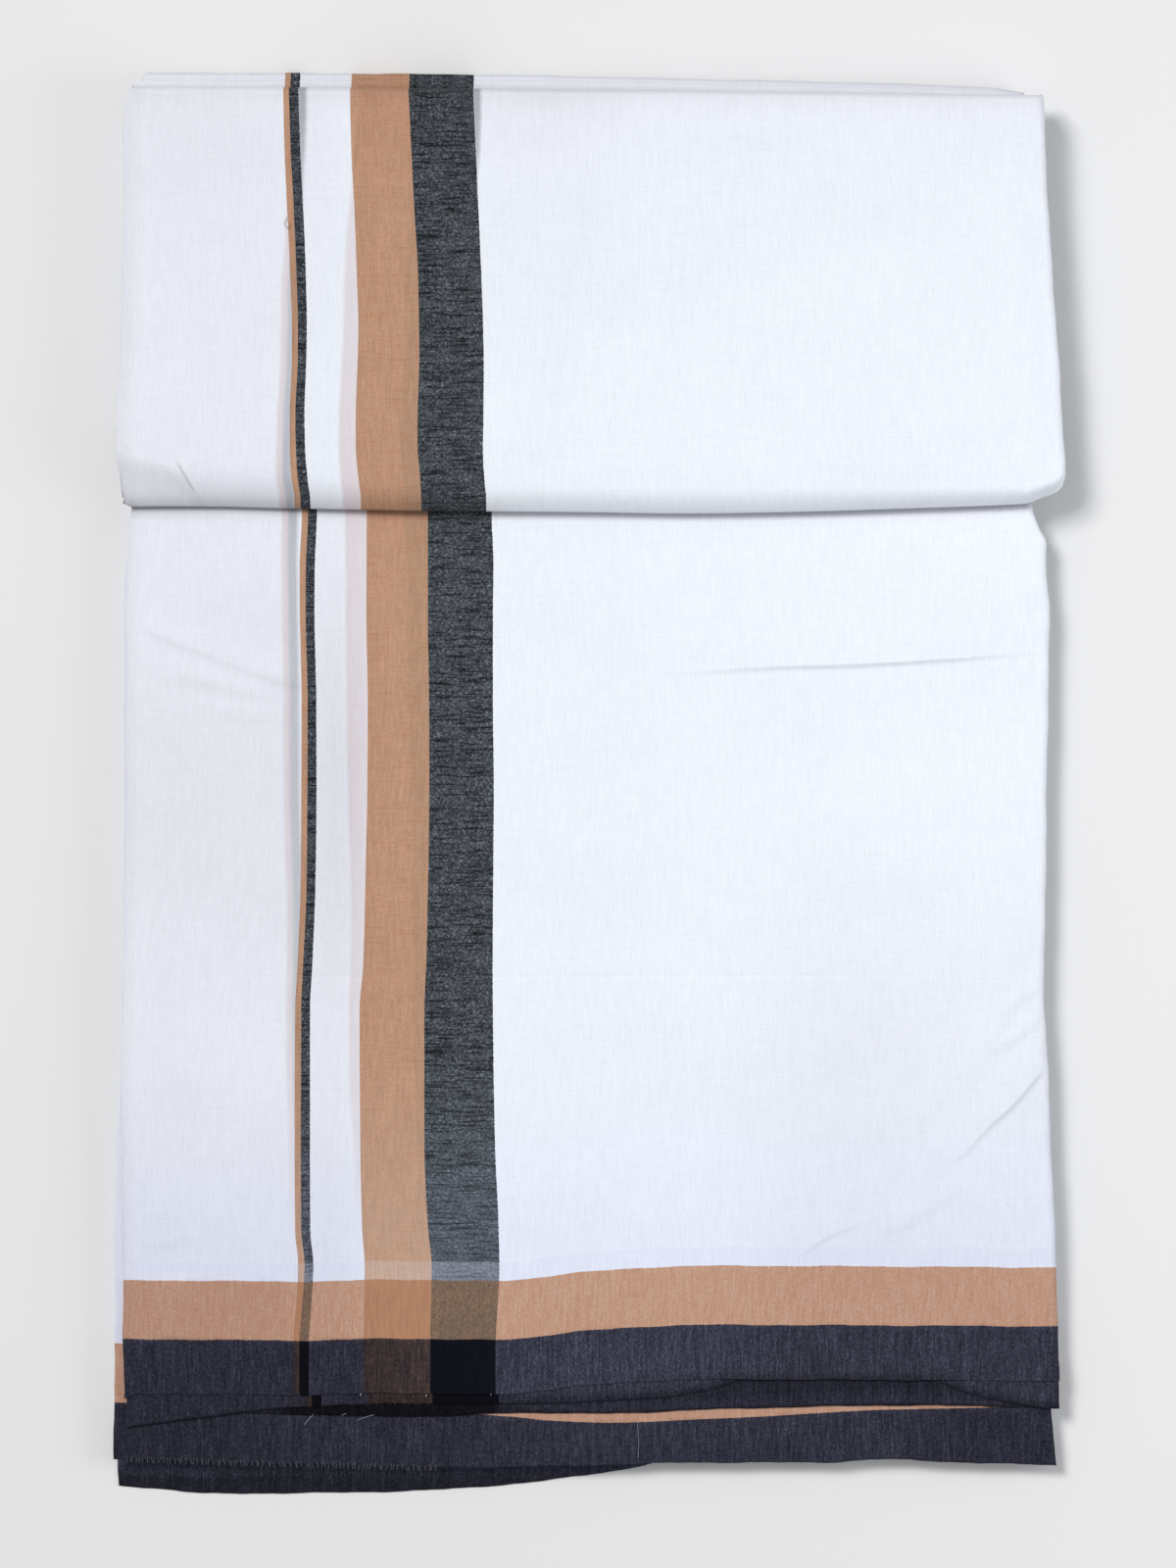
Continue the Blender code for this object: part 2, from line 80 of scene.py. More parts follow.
# Heights of the plies' upper faces, in the middle of the pile and where the ends are pressed flat.
LOWEST_TOP = 0.5
FOURTH_TOP = 9.1
THIRD_TOP = 10.4
SECOND_TOP = 11.7
PANEL_TOP = 13.0
FOURTH_PRESSED = 0.7
THIRD_PRESSED = 1.1
SECOND_PRESSED = 1.6
PANEL_PRESSED = 2.1
PRESSED_LENGTH = 60.0
END_TURN = 5.0
END_DROP = 0.35

# The flap: its turned crease above, its round nose below. The nose is longer and falls further at
# the left, and is short at the right.
FLAP_TOP = 22.3
FLAP_UNDER = 13.3
CREASE_FOOT = 8.1
CREASE_DEPTH = 3.0
NOSE_DEPTH = 8.7
NOSE_FALL = 4.85
LEFT_NOSE_DEPTH = 5.3
LEFT_NOSE_FALL = 1.5
RIGHT_NOSE_DEPTH = -2.2
CORNER_NOSE_DEPTH = -1.5
NOSE_POWER = 2.25
NOSE_BULGE = 1.83
NOSE_TURN = np.radians(45.0)
NOSE_START = NOSE_BULGE * (1.0 - np.cos(NOSE_TURN))
NOSE_TUCK = 24.0

# The flat facet at the flap's lower left corner, below its leaning top edge and left of a slanted
# line, and the small step down beside it.
FACET_TOP = 113.2
FACET_LEAN = 0.24
FACET_RIGHT = -144.2
FACET_SLANT = 0.78
FACET_POWER = 1.3
LEFT_STEP = 0.35

# How much the side edges and the cut ends waver.
SIDE_WAVER = 0.22
END_WAVER = 0.25

# The folded side edges. A ply is flat by its end, and is inset where another covers it.
ROLL = 2.5
TUCK = 0.7
FLAT_END = 2.4
ROLL_FADE = 16.0
COVERED_INSET = 4.3
SHOWN_INSET = 0.4

# The layers that don't show from above: folded edges, one over the other.
BUNDLE_FOOT = 0.6
BUNDLE_TOP = 7.7
FLAP_BUNDLE_FOOT = 13.8
FLAP_BUNDLE_TOP = 21.1
LEAVES = 7
LEAF_GROOVE = 0.55
LEAF_RISES = (0.0, 0.08, 0.25, 0.5, 0.75, 0.92)
BUNDLE_CORNER = 4.0
FLAP_BUNDLE_CORNER = 3.0
STEM_CORNER = 1.0
BUNDLE_BEHIND_SIDE = 2.0
BUNDLE_BEHIND_END = 4.0
BUNDLE_BEHIND_FOLDS = 5.2
FLAP_BUNDLE_INSET = 1.0
FLAP_BUNDLE_BEHIND_NOSE = 1.2
STEM_BEHIND_CREASE = 4.2
STEM_LENGTH = 4.5
STEM_BEHIND_SIDE = 7.0

# The fourth ply's side edges turn down less, and its end bends down past the layers under it.
FOURTH_ROLL = 0.8
FOURTH_TUCK = 0.3
FOURTH_BEND = BUNDLE_BEHIND_END + 3.0
FOURTH_DROP = 0.9

# The two folded edges above the flap, one over the other: how deep each is, how far its legs reach in,
# its leaves and the grooves between them, and the heights between which each lies. The last is the
# length of cloth that shows, in metres.
TOP_FOLD_DEPTH = 3.0
TOP_FOLD_LEG = 4.0
TOP_FOLD_LEAVES = 3
TOP_FOLD_GROOVE = 0.4
OUTER_FOLD_HEIGHTS = (1.3, 4.4)
INNER_FOLD_HEIGHTS = (4.7, 7.8)

# Where the side edges of each ply run, from its end up the pile.
PANEL_SIDES = table(
    Side,
    (-211.0, -158.9, 162.3), (-191.0, -159.7, 161.4), (-165.0, -159.5, 160.7),
    (-128.0, -159.9, 159.0), (-94.0, -160.3, 157.7), (-67.0, -159.8, 156.3), (-44.0, -159.4, 157.0),
    (0.0, -158.7, 157.4), (39.0, -158.7, 158.2), (60.0, -158.6, 158.4), (73.0, -158.4, 157.2),
    (79.0, -158.0, 157.4), (83.0, -157.7, 157.6), (87.0, -157.4, 155.3), (92.0, -156.8, 153.2),
    (95.0, -156.6, 152.4), (240.0, -155.5, 151.5),
)
FOURTH_SIDES = table(
    Side,
    (-234.0, -163.1, 160.9), (-214.0, -162.9, 159.2), (-193.0, -162.6, 159.6),
    (-168.0, -162.9, 159.3), (-122.0, -162.2, 157.6), (-105.0, -161.2, 157.0),
    (-94.0, -160.5, 156.6), (-67.0, -159.9, 155.5), (54.0, -159.9, 157.2), (65.0, -160.2, 156.4),
    (84.0, -157.8, 154.0), (95.0, -156.4, 151.5), (240.0, -155.0, 151.0),
)
LOWEST_SIDES = table(
    Side,
    (-242.0, -161.6, 157.0), (-233.0, -162.1, 157.0), (-200.0, -160.5, 157.0),
    (90.0, -156.0, 152.5), (244.0, -152.5, 150.0),
)
FLAP_SIDES = table(
    Side,
    (92.0, -158.6, 162.0), (98.0, -159.2, 162.9), (104.0, -159.7, 163.1), (110.5, -161.2, 163.1),
    (121.0, -161.7, 162.4), (141.0, -160.3, 161.2), (195.0, -159.0, 157.5), (222.0, -159.0, 156.2),
    (231.0, -158.3, 155.9), (239.0, -156.1, 155.5),
)

# Where each ply ends, from left to right.
PANEL_END = table(
    End,
    (-159.0, -211.2), (-154.6, -209.3), (-97.0, -209.7), (-67.0, -209.0), (-32.0, -209.5),
    (0.0, -206.3), (40.0, -204.3), (119.0, -204.6), (162.0, -204.9),
)
SECOND_END = table(
    End,
    (-158.7, -220.9), (-129.0, -216.8), (-101.0, -214.0), (-80.0, -213.1), (-55.0, -212.7),
    (-28.0, -212.8), (20.0, -211.1), (38.0, -208.8), (60.0, -203.5), (110.0, -203.5),
    (119.0, -205.1), (135.0, -210.5), (158.0, -214.4),
)
THIRD_END = table(
    End,
    (-159.0, -215.3), (-134.0, -215.5), (-110.0, -216.2), (-67.0, -217.2), (-48.0, -217.1),
    (-40.0, -216.7), (-30.0, -216.1), (-20.0, -215.9), (0.0, -216.2), (14.0, -216.0),
    (34.0, -215.1), (54.0, -214.4), (111.0, -213.4), (159.0, -214.3),
)
FOURTH_END = table(
    End,
    (-163.1, -231.9), (-101.0, -233.7), (-50.5, -234.9), (13.5, -233.9), (34.0, -233.2),
    (81.0, -233.2), (101.0, -232.1), (124.0, -233.0), (161.0, -234.2),
)
LOWEST_END = table(
    End,
    (-161.6, -241.8), (-148.0, -242.8), (-130.0, -244.5), (-81.0, -244.1), (-49.0, -243.0),
    (-25.0, -241.1), (0.0, -238.1), (13.5, -236.0), (34.0, -231.3), (70.0, -226.0), (157.0, -224.0),
)

# The flap's two folded edges, and the two fold edges which lie just above it.
NOSE = table(
    End,
    (-159.5, 96.8), (-157.0, 95.1), (-154.0, 94.9), (-147.0, 95.0), (-127.0, 94.95),
    (-107.0, 94.45), (-87.0, 94.1), (-60.0, 93.5), (-33.0, 93.3), (0.0, 93.05), (33.0, 92.6),
    (64.0, 93.0), (84.0, 93.5), (104.0, 94.15), (124.0, 94.8), (144.0, 95.6), (150.0, 96.0),
    (154.5, 97.6), (157.0, 98.5), (160.0, 99.6), (162.3, 101.8), (163.2, 104.5),
)
CREASE = table(
    End,
    (-156.0, 238.9), (-40.0, 238.1), (54.0, 237.1), (124.0, 236.2), (155.5, 235.9),
)
OUTER_FOLD = table(
    End,
    (-153.9, 241.2), (-151.8, 244.5), (-40.0, 243.9), (34.0, 242.4), (88.0, 241.2), (135.0, 239.6),
    (150.0, 237.6),
)
INNER_FOLD = table(
    End,
    (-154.8, 240.6), (-152.8, 241.6), (-40.0, 241.6), (54.0, 240.1), (135.0, 238.2), (151.0, 236.4),
)

# The stripes: how wide each is woven, and where each begins as it wanders along the cloth.
STRIPE_WIDTHS = (2.1, 3.2, 17.6, 21.4, 22.3)
FLAP_STRIPES = table(
    Stripes,
    (237.7, -104.1, -102.3, -99.0, -81.3, -61.4, -39.3),
    (215.9, -103.6, -101.5, -98.2, -80.8, -60.3, -38.3),
    (195.8, -102.7, -100.4, -97.2, -79.7, -59.3, -37.4),
    (175.7, -101.8, -99.6, -96.4, -79.0, -58.1, -36.5),
    (155.6, -101.1, -99.1, -96.0, -78.4, -57.7, -35.8),
    (145.6, -101.1, -99.1, -96.2, -78.6, -57.6, -35.6),
    (125.5, -101.8, -100.0, -96.8, -79.3, -58.2, -35.7),
    (115.4, -101.8, -99.8, -96.6, -79.3, -58.2, -35.9),
    (105.4, -101.4, -99.2, -95.9, -78.5, -57.4, -35.5),
    (98.7, -100.4, -98.4, -95.0, -77.7, -57.0, -34.8),
)
PANEL_STRIPES = table(
    Stripes,
    (90.0, -98.1, -96.0, -93.0, -75.9, -54.9, -33.0),
    (73.9, -98.9, -96.7, -93.7, -75.9, -54.9, -32.4),
    (58.8, -98.8, -96.8, -93.8, -76.0, -54.9, -32.6),
    (28.6, -98.2, -96.1, -93.2, -75.5, -54.5, -32.6),
    (-1.7, -98.3, -96.2, -93.1, -75.7, -54.4, -32.3),
    (-31.9, -98.5, -96.4, -93.4, -76.3, -54.8, -32.5),
    (-62.2, -99.6, -97.7, -94.5, -77.1, -55.5, -32.7),
    (-77.3, -100.4, -98.3, -95.3, -78.3, -56.1, -32.6),
    (-122.6, -100.6, -98.4, -95.3, -78.1, -56.1, -31.9),
    (-152.9, -100.4, -98.3, -95.2, -77.4, -54.8, -30.6),
    (-164.6, -99.5, -97.1, -94.2, -76.6, -53.6, -30.4),
    (-190.8, -101.1, -99.1, -95.8, -76.9, -54.1, -31.7),
)
SECOND_STRIPES = table(
    Stripes,
    (100.0, -96.9, -94.8, -91.4, -75.6, -53.3, -30.6),
    (-212.0, -96.9, -94.8, -91.4, -75.6, -53.3, -30.6),
)
NO_STRIPES = 400.0

# The end border, from the cut end up: black weft, brown weft, then white weft beaten up close. Near
# the end it follows the end's line, and it runs straight further up. Cloth away from any end starts
# past the border.
BLACK_BAND = 18.8
BROWN_BAND = 39.1
CLOSE_BAND = 45.5
BORDER_FOLLOWS_END = 60.0
BORDER_RUNS_STRAIGHT = 200.0
PAST_BORDER = 300.0

# Where the fourth ply's black band meets its brown one. It isn't parallel to that ply's end.
FOURTH_BORDER = table(
    End,
    (-163.0, -212.4), (-45.0, -216.0), (-26.0, -217.4), (-13.0, -218.7), (7.0, -219.5),
    (34.0, -218.5), (60.0, -217.3), (101.0, -215.0), (124.0, -214.5), (161.0, -213.6),
)

# The stripes of the ply below, seen through the white: how far aside its thin and its wide stripes
# lie, and how strongly they show.
FLAP_BELOW = table(
    Below,
    (240.0, 2.9, 2.7, 0.60),
    (231.0, 2.6, 2.4, 0.60),
    (217.0, 1.7, 1.4, 0.52),
    (204.0, 0.3, -0.5, 0.42),
    (190.0, -0.7, -2.8, 0.40),
    (170.0, -3.0, -4.5, 0.42),
    (150.0, -3.8, -5.4, 0.44),
    (127.0, -4.2, -5.9, 0.46),
    (104.0, -5.1, -6.3, 0.52),
)
PANEL_BELOW = table(
    Below,
    (92.0, -6.8, -8.0, 0.50),
    (67.0, -6.0, -7.3, 0.44),
    (34.0, -6.2, -7.4, 0.40),
    (0.0, -6.0, -6.9, 0.40),
    (-34.0, -4.9, -5.2, 0.38),
    (-67.0, -3.4, -4.2, 0.38),
    (-100.0, -2.7, -3.6, 0.36),
    (-128.0, -1.9, -2.3, 0.24),
    (-160.0, -1.9, -2.3, 0.0),
)

# Creases, each along a bent line. The cloth is highest on the line, falls off steeply on the right
# of the way it runs, and gently on the left. A height under 0 is a trough.
LONG_CREASE = ((18.0, 37.2), (34.0, 38.6), (64.0, 40.5), (91.0, 41.3), (128.0, 43.5), (160.0, 46.4))
LEFT_CREASE = ((-158.0, 56.0), (-130.0, 44.9), (-105.0, 36.0), (-88.0, 34.0))
LOW_CREASE = (
    (70.6, -163.3), (75.5, -159.2), (82.3, -154.7), (87.1, -152.6), (92.5, -150.5), (97.2, -149.7),
)
MIDDLE_CREASE = (
    (96.6, -158.2), (99.8, -154.5), (104.5, -152.1), (109.9, -150.1), (116.6, -146.0),
    (122.0, -142.4), (127.4, -138.7), (129.5, -131.7),
)
CORNER_CREASE = (
    (112.4, -136.9), (120.7, -132.9), (125.4, -128.9), (129.4, -125.8), (132.8, -121.8),
    (138.1, -116.2), (144.9, -110.2), (149.6, -104.9), (153.7, -100.1), (165.0, -87.2),
)

PANEL_CREASES = (
    Crease(LONG_CREASE, 1.12, 1.2, 26.0, 0.45, 0.32),
    Crease(LEFT_CREASE, 0.80, 2.3, 5.5, 0.20, 0.30),
    Crease(((-148.0, 39.8), (-124.0, 33.6), (-106.0, 29.0)), 0.85, 2.3, 5.0),
    Crease(((-138.0, 26.6), (-120.0, 24.3), (-101.0, 22.4)), 0.50, 1.8, 4.5),
    Crease(((-76.0, 46.0), (-54.0, 45.0)), 0.18, 1.3, 4.0),
    Crease(((-157.0, 77.4), (-151.0, 78.6)), 0.45, 1.4, 4.0),
    Crease(((157.0, 72.6), (150.0, 66.5), (145.0, 61.5)), 0.60, 1.2, 6.0),
    Crease(((134.0, -96.0), (142.0, -81.9), (147.0, -74.6), (160.0, -66.5)), 0.52, 0.95, 4.5),
    Crease(((136.0, -95.0), (144.3, -88.9), (151.2, -83.7), (161.0, -74.6)), 0.52, 0.85, 4.5),
    Crease(LOW_CREASE, 0.42, 1.1, 7.0, 0.3, 0.5),
    Crease(MIDDLE_CREASE, 0.42, 1.2, 5.0, 0.3, 0.5),
    Crease(CORNER_CREASE, 1.05, 1.25, 9.0, 0.65, 0.05),
    Crease(((162.0, -153.4), (152.0, -154.8)), 0.16, 0.9, 3.0),
    Crease(((99.0, -159.5), (111.0, -160.5)), -0.45, 6.0, 7.0),
    Crease(((23.5, -79.0), (33.0, -104.0), (43.0, -131.0)), -0.60, 9.0, 12.0),
    Crease(((86.0, -93.0), (92.0, -105.0), (98.5, -118.5)), -0.35, 5.0, 8.0),
    Crease(((-24.4, -148.0), (-20.2, -167.0)), -0.38, 2.4, 2.4),
    Crease(((-144.5, -156.0), (-141.5, -172.0)), -0.55, 6.0, 7.0),
    Crease(((-152.0, -66.4), (0.0, -66.0), (152.0, -65.4)), -0.08, 0.8, 0.8),
    Crease(((90.0, 6.0), (100.0, -20.0), (104.0, -46.0)), 0.50, 22.0, 22.0),
    Crease(((-140.0, -98.0), (-128.0, -150.0)), -0.50, 11.0, 11.0),
)

# Lines that the front panel's grid follows, so that its sharpest creases lie along its rows.
LONG_GUIDE = table(End, *LEFT_CREASE, (-40.0, 33.0), *LONG_CREASE)
PRESSED_GUIDE = table(End, (-160.0, -66.4), (160.0, -65.4))
LOW_GUIDE = table(End, (-160.0, -152.0), (0.0, -164.0), *LOW_CREASE[:-1], *CORNER_CREASE)
FLAP_CREASES = (
    Crease(((8.0, 217.0), (1.0, 160.0), (-1.5, 130.0), (0.8, 117.0)), -0.70, 9.0, 11.0),
    Crease(((20.0, 177.0), (5.0, 146.0)), -0.40, 6.0, 8.0),
    Crease(((62.3, 222.0), (61.0, 195.0)), -0.40, 7.0, 7.0),
    Crease(((-26.0, 136.0), (-20.0, 107.0)), 0.40, 9.0, 9.0),
    Crease(((-141.0, 109.8), (-137.8, 105.1), (-133.6, 99.1)), 0.30, 1.0, 5.0),
    Crease(((96.0, 205.0), (112.0, 150.0), (108.0, 120.0)), -0.22, 14.0, 18.0),
)

# On the underside the cloth only lifts off the surface, so each crease is a shallow hollow below.
UNDERSIDE_CREASES = (
    Crease(((-120.0, 60.0), (-40.0, 48.0), (30.0, 52.0)), 0.45, 6.0, 14.0),
    Crease(((60.0, -60.0), (104.0, -20.0), (128.0, 24.0)), 0.40, 6.0, 12.0),
    Crease(((-96.0, -120.0), (-60.0, -84.0)), 0.35, 6.0, 10.0),
)

# Where a crease is pinched so deep that it shows as a dark line, drawn as painted shade along it. Height
# is how dark.
PINCH_LINE = ((-141.0, 111.1), (-138.4, 106.6), (-136.1, 102.6), (-133.9, 98.9))
FLAP_PINCH_SHADES = (Crease(PINCH_LINE, 0.34, 0.36, 0.36),)

# How far a ply swells off the one below, over what length that fades out at the ply's ends, and where
# the swell and the creases begin and are full, in from a side edge.
PANEL_SWELL = 0.7
FLAP_SWELL = 0.9
SWELL_FADE = 25.0
SWELL_INSIDE = (ROLL, ROLL + 9.0)
CREASES_INSIDE = (0.6, 4.2)

# Painted shade on each ply: darkening that stands for the shade in the pile's gaps, at the plies' ends,
# and where the light falls off across the pile. A row gives how much at most, where 1 is black, and the
# places between which that grows: x across, y up, and the way from the ply's own end.
PANEL_BORDER_SHADES = (
    Shade(0.10),
    Shade(0.13, across=(30.0, 90.0)),
    Shade(0.35, across=(-20.0, -100.0)),
    Shade(0.30, across=(15.0, 55.0), from_end=(3.5, 0.0)),
    Shade(-0.30, across=(112.0, 142.0), from_end=(3.5, 0.0)),
)
PANEL_SHADES = (
    Shade(0.06, across=(-70.0, -90.0)),
    Shade(0.02, across=(-70.0, -90.0), up=(-90.0, -150.0)),
    Shade(0.05, across=(30.0, 90.0), up=(0.0, -90.0)),
)
# Painted shade half way up the front panel: at its left, and in a strip left of the wide stripes.
HALF_WAY_LEFT_SHADE = 0.04
HALF_WAY_STRIP_SHADE = 0.07

# This painted shade falls only on the panel's two coloured bands.
PANEL_BANDS_SHADES = (Shade(0.06, across=(-98.0, -110.0)),)
SECOND_SHADES = (
    Shade(0.50),
    Shade(-0.24, across=(-28.0, -25.0)),
    Shade(0.34, across=(-28.0, -25.0), from_end=(3.5, 0.5)),
)

# The third ply is painted nearly black for the shade of the deep gap at the left.
THIRD_SHADES = (
    Shade(0.62),
    Shade(0.28, across=(-112.0, -100.0)),
    Shade(-0.28, across=(-32.0, -29.0)),
    Shade(-0.20, across=(-30.0, -10.0), from_end=(6.0, 1.0)),
    Shade(0.30, across=(-30.0, -20.0), from_end=(1.2, 0.4)),
)
FOURTH_SHADES = (
    Shade(0.33),
    Shade(0.12, across=(0.0, -60.0)),
    Shade(0.06, across=(-90.0, -130.0)),
    Shade(0.14, across=(105.0, 130.0)),
)
FOURTH_BROWN_SHADE = 0.10
FLAP_PAINTED_SHADES = (Shade(0.065, across=(-60.0, -120.0)),)

# Painted shade that isn't in a table: on the lowest ply and its lower part, the folded edges above the
# flap, the gap under the flap's nose, and the nose itself with the facet beside it.
LOWEST_SHADE = 0.48
LOWEST_LOWER_SHADE = 0.20
TOP_FOLD_SHADE = 0.15
TOP_FOLD_EDGE_SHADE = 0.11
TOP_FOLD_BY_FLAP_SHADE = 0.12
NOSE_GAP_SHADE = 0.30
NOSE_GAP_SIDES_SHADE = 0.12
NOSE_LEFT_SHADE = 0.25
NOSE_UNDER_SHADE = 0.30
FACET_SHADE = 0.045

# The painted shade on the flap below its upper crease. A row gives how much at most, and over what
# length it fades: evenly in the first, and as e to the minus length in the others, the last only in the
# middle.
CREASE_EVEN_FADE = (0.035, 110.0)
CREASE_FADES = ((0.045, 8.0), (0.14, 1.8))
CREASE_MIDDLE_FADE = (0.055, 30.0)
LESS_AT_LEFT = 0.4

# Painted shade along the folded left edge of a ply: so much at the edge, over a width.
PANEL_RIM_SHADE = (0.06, 5.0)
FOURTH_RIM_SHADE = (0.12, 5.0)
FLAP_RIM_SHADE = (0.07, 8.0)

# Rows of cut thread ends along a ply's end: from where to where, how close, how long, how far above
# the end they begin, at what height, and the place in the stripes that gives the yarn's colour.
WHITE_YARN = 300.0
# The yarn at 310 is the same white as at 300, drawn darker by the amount two lines on.
DIMMED_YARN = 310.0
BROWN_YARN = 30.0
DIMMED = 0.45
TICK_RADIUS = 0.09
TICK_LEAN = 0.35
TICK_RISE = 0.12
TICKS = (
    Ticks(FOURTH_END, -158.0, -52.0, 1.3, 1.8, -1.0, 8.0, DIMMED_YARN, 1),
    Ticks(PANEL_END, 117.0, 157.0, 2.1, 0.6, 0.2, 10.75, DIMMED_YARN, 2),
    Ticks(SECOND_END, -77.0, -55.0, 1.9, 0.8, -0.5, 9.9, BROWN_YARN, 3),
)
LOOSE = (
    Loose(((-97.5, -220.3, 10.0), (-95.8, -217.9, 10.3), (-94.1, -216.3, 10.2)), 0.09, DIMMED_YARN),
    Loose(((-79.6, -218.6, 10.1), (-76.4, -217.3, 10.3), (-73.2, -216.5, 10.2)), 0.08, DIMMED_YARN),
    Loose(((-84.6, -216.8, 10.2), (-83.7, -216.3, 10.3), (-82.9, -216.2, 10.2)), 0.08, DIMMED_YARN),
    Loose(((-78.1, -209.9, 11.0), (-77.8, -209.0, 11.1)), 0.10, WHITE_YARN),
    Loose(((-55.6, -210.3, 11.0), (-55.5, -209.4, 11.1)), 0.10, WHITE_YARN),
    Loose(((-33.4, -209.9, 11.0), (-33.2, -209.1, 11.1)), 0.08, DIMMED_YARN),
    Loose(((16.9, -218.6, 8.75), (17.4, -226.0, 8.7), (17.2, -231.6, 8.6)), 0.07, DIMMED_YARN),
    Loose(
        ((-102.6, 193.5, 23.3), (-103.6, 191.2, 23.5), (-102.3, 189.6, 23.5), (-101.6, 191.4, 23.4)),
        0.09,
        BROWN_YARN,
    ),
)

# Grid lines, and how many rows a ply has between each two of the lines that it follows.
PANEL_COLUMNS = (Span(-156.0, 157.0, 2.0),)
PLY_COLUMNS = (Span(-158.0, 158.0, 1.8),)
FLAP_COLUMNS = (Span(-157.0, -144.0, 1.6), Span(-144.0, -130.0, 0.55), Span(-130.0, 157.0, 1.6))
FLAP_ROWS = (Span(0.0, 0.88, 0.0105), Span(0.88, 1.0, 0.0042))
PANEL_ROWS = (
    Rows(12, False, False),
    Rows(36, False, True),
    Rows(66, True, True),
    Rows(58, True, True),
    Rows(54, True, True),
)
COVERED_ROWS = (Rows(52, False, True),)
FOURTH_ROWS = (Rows(76, False, True),)
LOWEST_ROWS = (Rows(60, False, True),)


# --- Curves and small formulas -------------------------------------------------------------------


def smooth(value):
    """0 up to 0, 1 from 1, and between them the soft S of 3 t^2 - 2 t^3."""
    t = np.clip(value, 0.0, 1.0)
    return t * t * (3.0 - 2.0 * t)


def soft_line(table, along, name, at):
    """A soft curve through a table's points: a cubic between each two. Its slope at a point is the
    harmonic mean of the straight slopes on the two sides, or level where one rises and one falls."""
    places = np.array([getattr(row, along) for row in table])
    values = np.array([getattr(row, name) for row in table])
    slopes = np.diff(values) / np.diff(places)
    product = np.maximum(slopes[1:] * slopes[:-1], 0.0)
    inner = 2.0 * product / np.where(product > 0.0, slopes[1:] + slopes[:-1], 1.0)
    slopes = np.concatenate([slopes[:1], inner, slopes[-1:]])
    at = np.clip(at, places[0], places[-1])
    low = np.clip(np.searchsorted(places, at) - 1, 0, len(places) - 2)
    gap = places[low + 1] - places[low]
    t = (at - places[low]) / gap
    start = values[low] * (1.0 + 2.0 * t) * (1.0 - t) ** 2 + slopes[low] * gap * t * (1.0 - t) ** 2
    stop = values[low + 1] * t**2 * (3.0 - 2.0 * t) - slopes[low + 1] * gap * t**2 * (1.0 - t)
    return start + stop


def ramp(value, start, full):
    """0 up to the start, 1 from where it's full, and the soft S between. It may also run downward."""
    return smooth((value - start) / (full - start))


def bell(value, width):
    """1 at 0, fading on both sides as e to the minus square."""
    return np.exp(-((value / width) ** 2))


def wander(along, size, seed):
    """A slow uneven wave: the mean of three sines whose lengths share no factor, times size."""
    waves = ((41.0, 1.0), (17.3, 0.7), (6.9, 0.35))
    total = 0.0
    for turn, (length, share) in enumerate(waves):
        total = total + share * np.sin(2.0 * np.pi * along / length + 2.4 * seed + 1.7 * turn)
    return size * total / 2.05


def left_of(sides, y):
    """The left side edge at y, with a small waver."""
    return soft_line(sides, "y", "left", y) + wander(y, SIDE_WAVER, 1)


def right_of(sides, y):
    """The right side edge at y, with a small waver."""
    return soft_line(sides, "y", "right", y) + wander(y, SIDE_WAVER, 2)


def end_of(edge, x):
    """How far up the pile an end, a fold or a guide line lies at x."""
    return soft_line(edge, "x", "y", x)


def end_line(edge, seed):
    """A ply's cut end as a function of x, with the small waver of a torn or cut edge."""
    return lambda x: end_of(edge, x) + wander(x, END_WAVER, seed)


def lines(spans):
    """The grid lines of a table of spans, each span cut into equal steps no longer than its own."""
    places = [np.array([spans[0].start])]
    for span in spans:
        count = int(np.ceil(abs(span.stop - span.start) / span.step))
        places.append(np.linspace(span.start, span.stop, count + 1)[1:])
    return np.concatenate(places)


def shares(spans):
    """The same grid lines as shares, from 0 on the first line to 1 on the last."""
    places = lines(spans)
    return (places - places[0]) / (places[-1] - places[0])


def bunched(rows):
    """Shares of the way between two lines, closer together near a line marked as fine: t less a sine
    wave of t, or half of such a wave where only one of the two lines is."""
    if not (rows.fine_first or rows.fine_last):
        return np.linspace(0.0, 1.0, rows.count + 1)
    t = np.linspace(0.0 if rows.fine_first else 0.5, 1.0 if rows.fine_last else 0.5, rows.count + 1)
    wave = t - 0.9 * np.sin(2.0 * np.pi * t) / (2.0 * np.pi)
    return (wave - wave[0]) / (wave[-1] - wave[0])


def bent(points):
    """A crease's points joined by a soft curve, as short straight pieces (a Catmull-Rom spline)."""
    points = np.array(points)
    ends = np.concatenate([[2.0 * points[0] - points[1]], points, [2.0 * points[-1] - points[-2]]])
    t = np.linspace(0.0, 1.0, 5)[:-1, None]
    pieces = []
    for a, b, c, d in zip(ends, ends[1:], ends[2:], ends[3:]):
        square, cube = 2.0 * a - 5.0 * b + 4.0 * c - d, 3.0 * (b - c) + d - a
        pieces.append(b + t / 2.0 * (c - a + t * (square + t * cube)))
    return np.concatenate(pieces + [points[-1:]])


